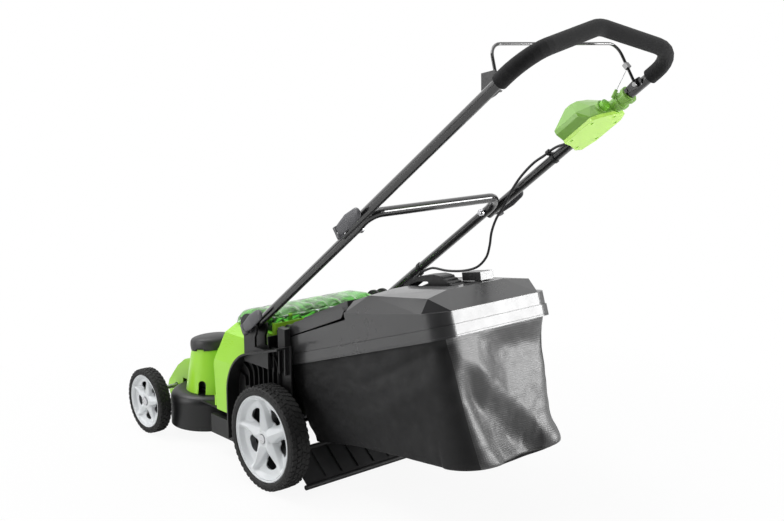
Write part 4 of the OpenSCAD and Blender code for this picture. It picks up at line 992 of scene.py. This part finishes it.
# from the deck's gland up to the lower clip, the loop from there to the upper clip, and the bail's wire
rising = [(-179.5, 28.1, -39.3), (-179.5, 33.2, -32.4), (-179.5, 48, -29), (-181, 72, -24), (-186, 100, -18),
          (-191, 140, -16), (-192.5, 180, -15.5), (-192, 214, -17)]
hanging = [(-192, 214, -17), (-191, 249, -27), (-190, 291, -57), (-190, 341, -84), (-192, 386, -98),
           (-194, 424, -93), (-195, 450, -75), (-195, 474, -52), (-196, 505, -33), (-198, 544, -19),
           (-200, 583, -2), (-204, 624, 11), (-208, 668, 17), (-212, 700, 15.5)]
wire = [(-205, 949, 17), (-203.5, 977.5, 28.5), (-201.9, 1006, 40)]
flexible("cable_rising", "cable_lower", rising, CABLE_R, "cable_black")
flexible("cable_hanging", "cable_loop", hanging, CABLE_R, "cable_black")
flexible("pull_wire", "bail_wire", wire, WIRE_R, "steel_bright")


# ---------------------------------------------------------------- floor, light and camera

WHITE = (1, 1, 1, 1)
# the view's turn about Z and its dip, in degrees, then the camera's place in metres and its lens in mm
VIEW_AZIMUTH, VIEW_DOWN = 138.47, 10.96
CAMERA_AT = (1.722, 2.0388, 1.051)
LENS, SENSOR = 51.81, 36


def studio_floor():
    """Near the mower the floor shows its shadow; further off it fades into the white background."""
    floor = bpy.data.materials.new("studio_floor")
    t = Nodes(floor)
    diffuse = t.n("ShaderNodeBsdfDiffuse")
    diffuse.inputs["Color"].default_value = (0.8, 0.8, 0.8, 1)
    reach = t.n("ShaderNodeVectorMath", operation="LENGTH")
    t.link(t.n("ShaderNodeTexCoord").outputs["Object"], reach.inputs[0])
    fade = t.remap(reach.outputs["Value"], 0.6, 1.5, 0.92, 1.0)
    seen = t.math("MULTIPLY", t.n("ShaderNodeLightPath").outputs["Is Camera Ray"], fade)
    surface = t.mix_shaders(seen, diffuse.outputs[0], t.n("ShaderNodeEmission").outputs[0])
    t.link(surface, t.n("ShaderNodeOutputMaterial").inputs["Surface"])
    bm = bmesh.new()
    bmesh.ops.create_grid(bm, x_segments=24, y_segments=24, size=14)
    ground = make_object("studio_floor", bm, [floor])
    ground.location.z = -0.0005


def studio_world():
    """A dim light on the object, and white where the camera, glass and gloss see the background.

    Gloss sees white towards the mower's right front and a dim studio towards its left rear."""
    world = bpy.data.worlds.new("studio")
    bpy.context.scene.world = world
    t = Nodes(world)
    dim = t.n("ShaderNodeBackground")
    dim.inputs["Color"].default_value = WHITE
    dim.inputs["Strength"].default_value = 0.3
    backdrop = t.n("ShaderNodeBackground")
    backdrop.inputs["Color"].default_value = WHITE
    rays = t.n("ShaderNodeLightPath").outputs
    seen = rays["Is Camera Ray"]
    for ray in ("Is Glossy Ray", "Is Transmission Ray"):
        seen = t.math("MAXIMUM", seen, rays[ray])
    facing = t.n("ShaderNodeVectorMath", operation="DOT_PRODUCT")
    facing.inputs[1].default_value = (0.69, 0.72, 0.05)
    t.link(t.n("ShaderNodeTexCoord").outputs["Generated"], facing.inputs[0])
    strength = t.remap(facing.outputs["Value"], -0.3, 0.4, 1.0, 0.05)
    t.link(t.math("MAXIMUM", strength, rays["Is Camera Ray"]), backdrop.inputs["Strength"])
    surface = t.mix_shaders(seen, dim.outputs[0], backdrop.outputs[0])
    t.link(surface, t.n("ShaderNodeOutputWorld").inputs["Surface"])


def softbox(name, at, target, size, power):
    light = bpy.data.lights.new(name, "AREA")
    light.shape = "RECTANGLE"
    light.size, light.size_y = size
    light.energy = power
    o = bpy.data.objects.new(name, light)
    bpy.context.scene.collection.objects.link(o)
    o.location = at
    o.rotation_euler = (Vector(target) - Vector(at)).to_track_quat("-Z", "Y").to_euler()


def make_camera():
    """A camera that looks down on the mower's left rear, as the photo does."""
    data = bpy.data.cameras.new("view")
    data.sensor_width = SENSOR
    data.lens = LENS
    cam = bpy.data.objects.new("view", data)
    bpy.context.scene.collection.objects.link(cam)
    azimuth, down = math.radians(VIEW_AZIMUTH), math.radians(VIEW_DOWN)
    back = Vector((math.sin(azimuth) * math.cos(down), -math.cos(azimuth) * math.cos(down), math.sin(down)))
    cam.location = CAMERA_AT
    cam.rotation_euler = (-back).to_track_quat("-Z", "Y").to_euler()
    return cam


studio_floor()
studio_world()
softbox("key_behind", (-2.1, 2.55, 0.95), (0, 0.4, 0.4), (1.15, 1.0), 62)
softbox("top", (0.3, 0.2, 3.4), (0, 0, 0.3), (3.0, 3.0), 44)
softbox("upper_left", (1.0, -1.6, 2.7), (0, 0.1, 0.4), (1.5, 1.5), 40)
softbox("left_fill", (3.2, -1.6, 1.4), (0, -0.2, 0.3), (1.6, 1.8), 46)
bpy.context.scene.view_settings.view_transform = "Standard"
bpy.context.scene.camera = make_camera()
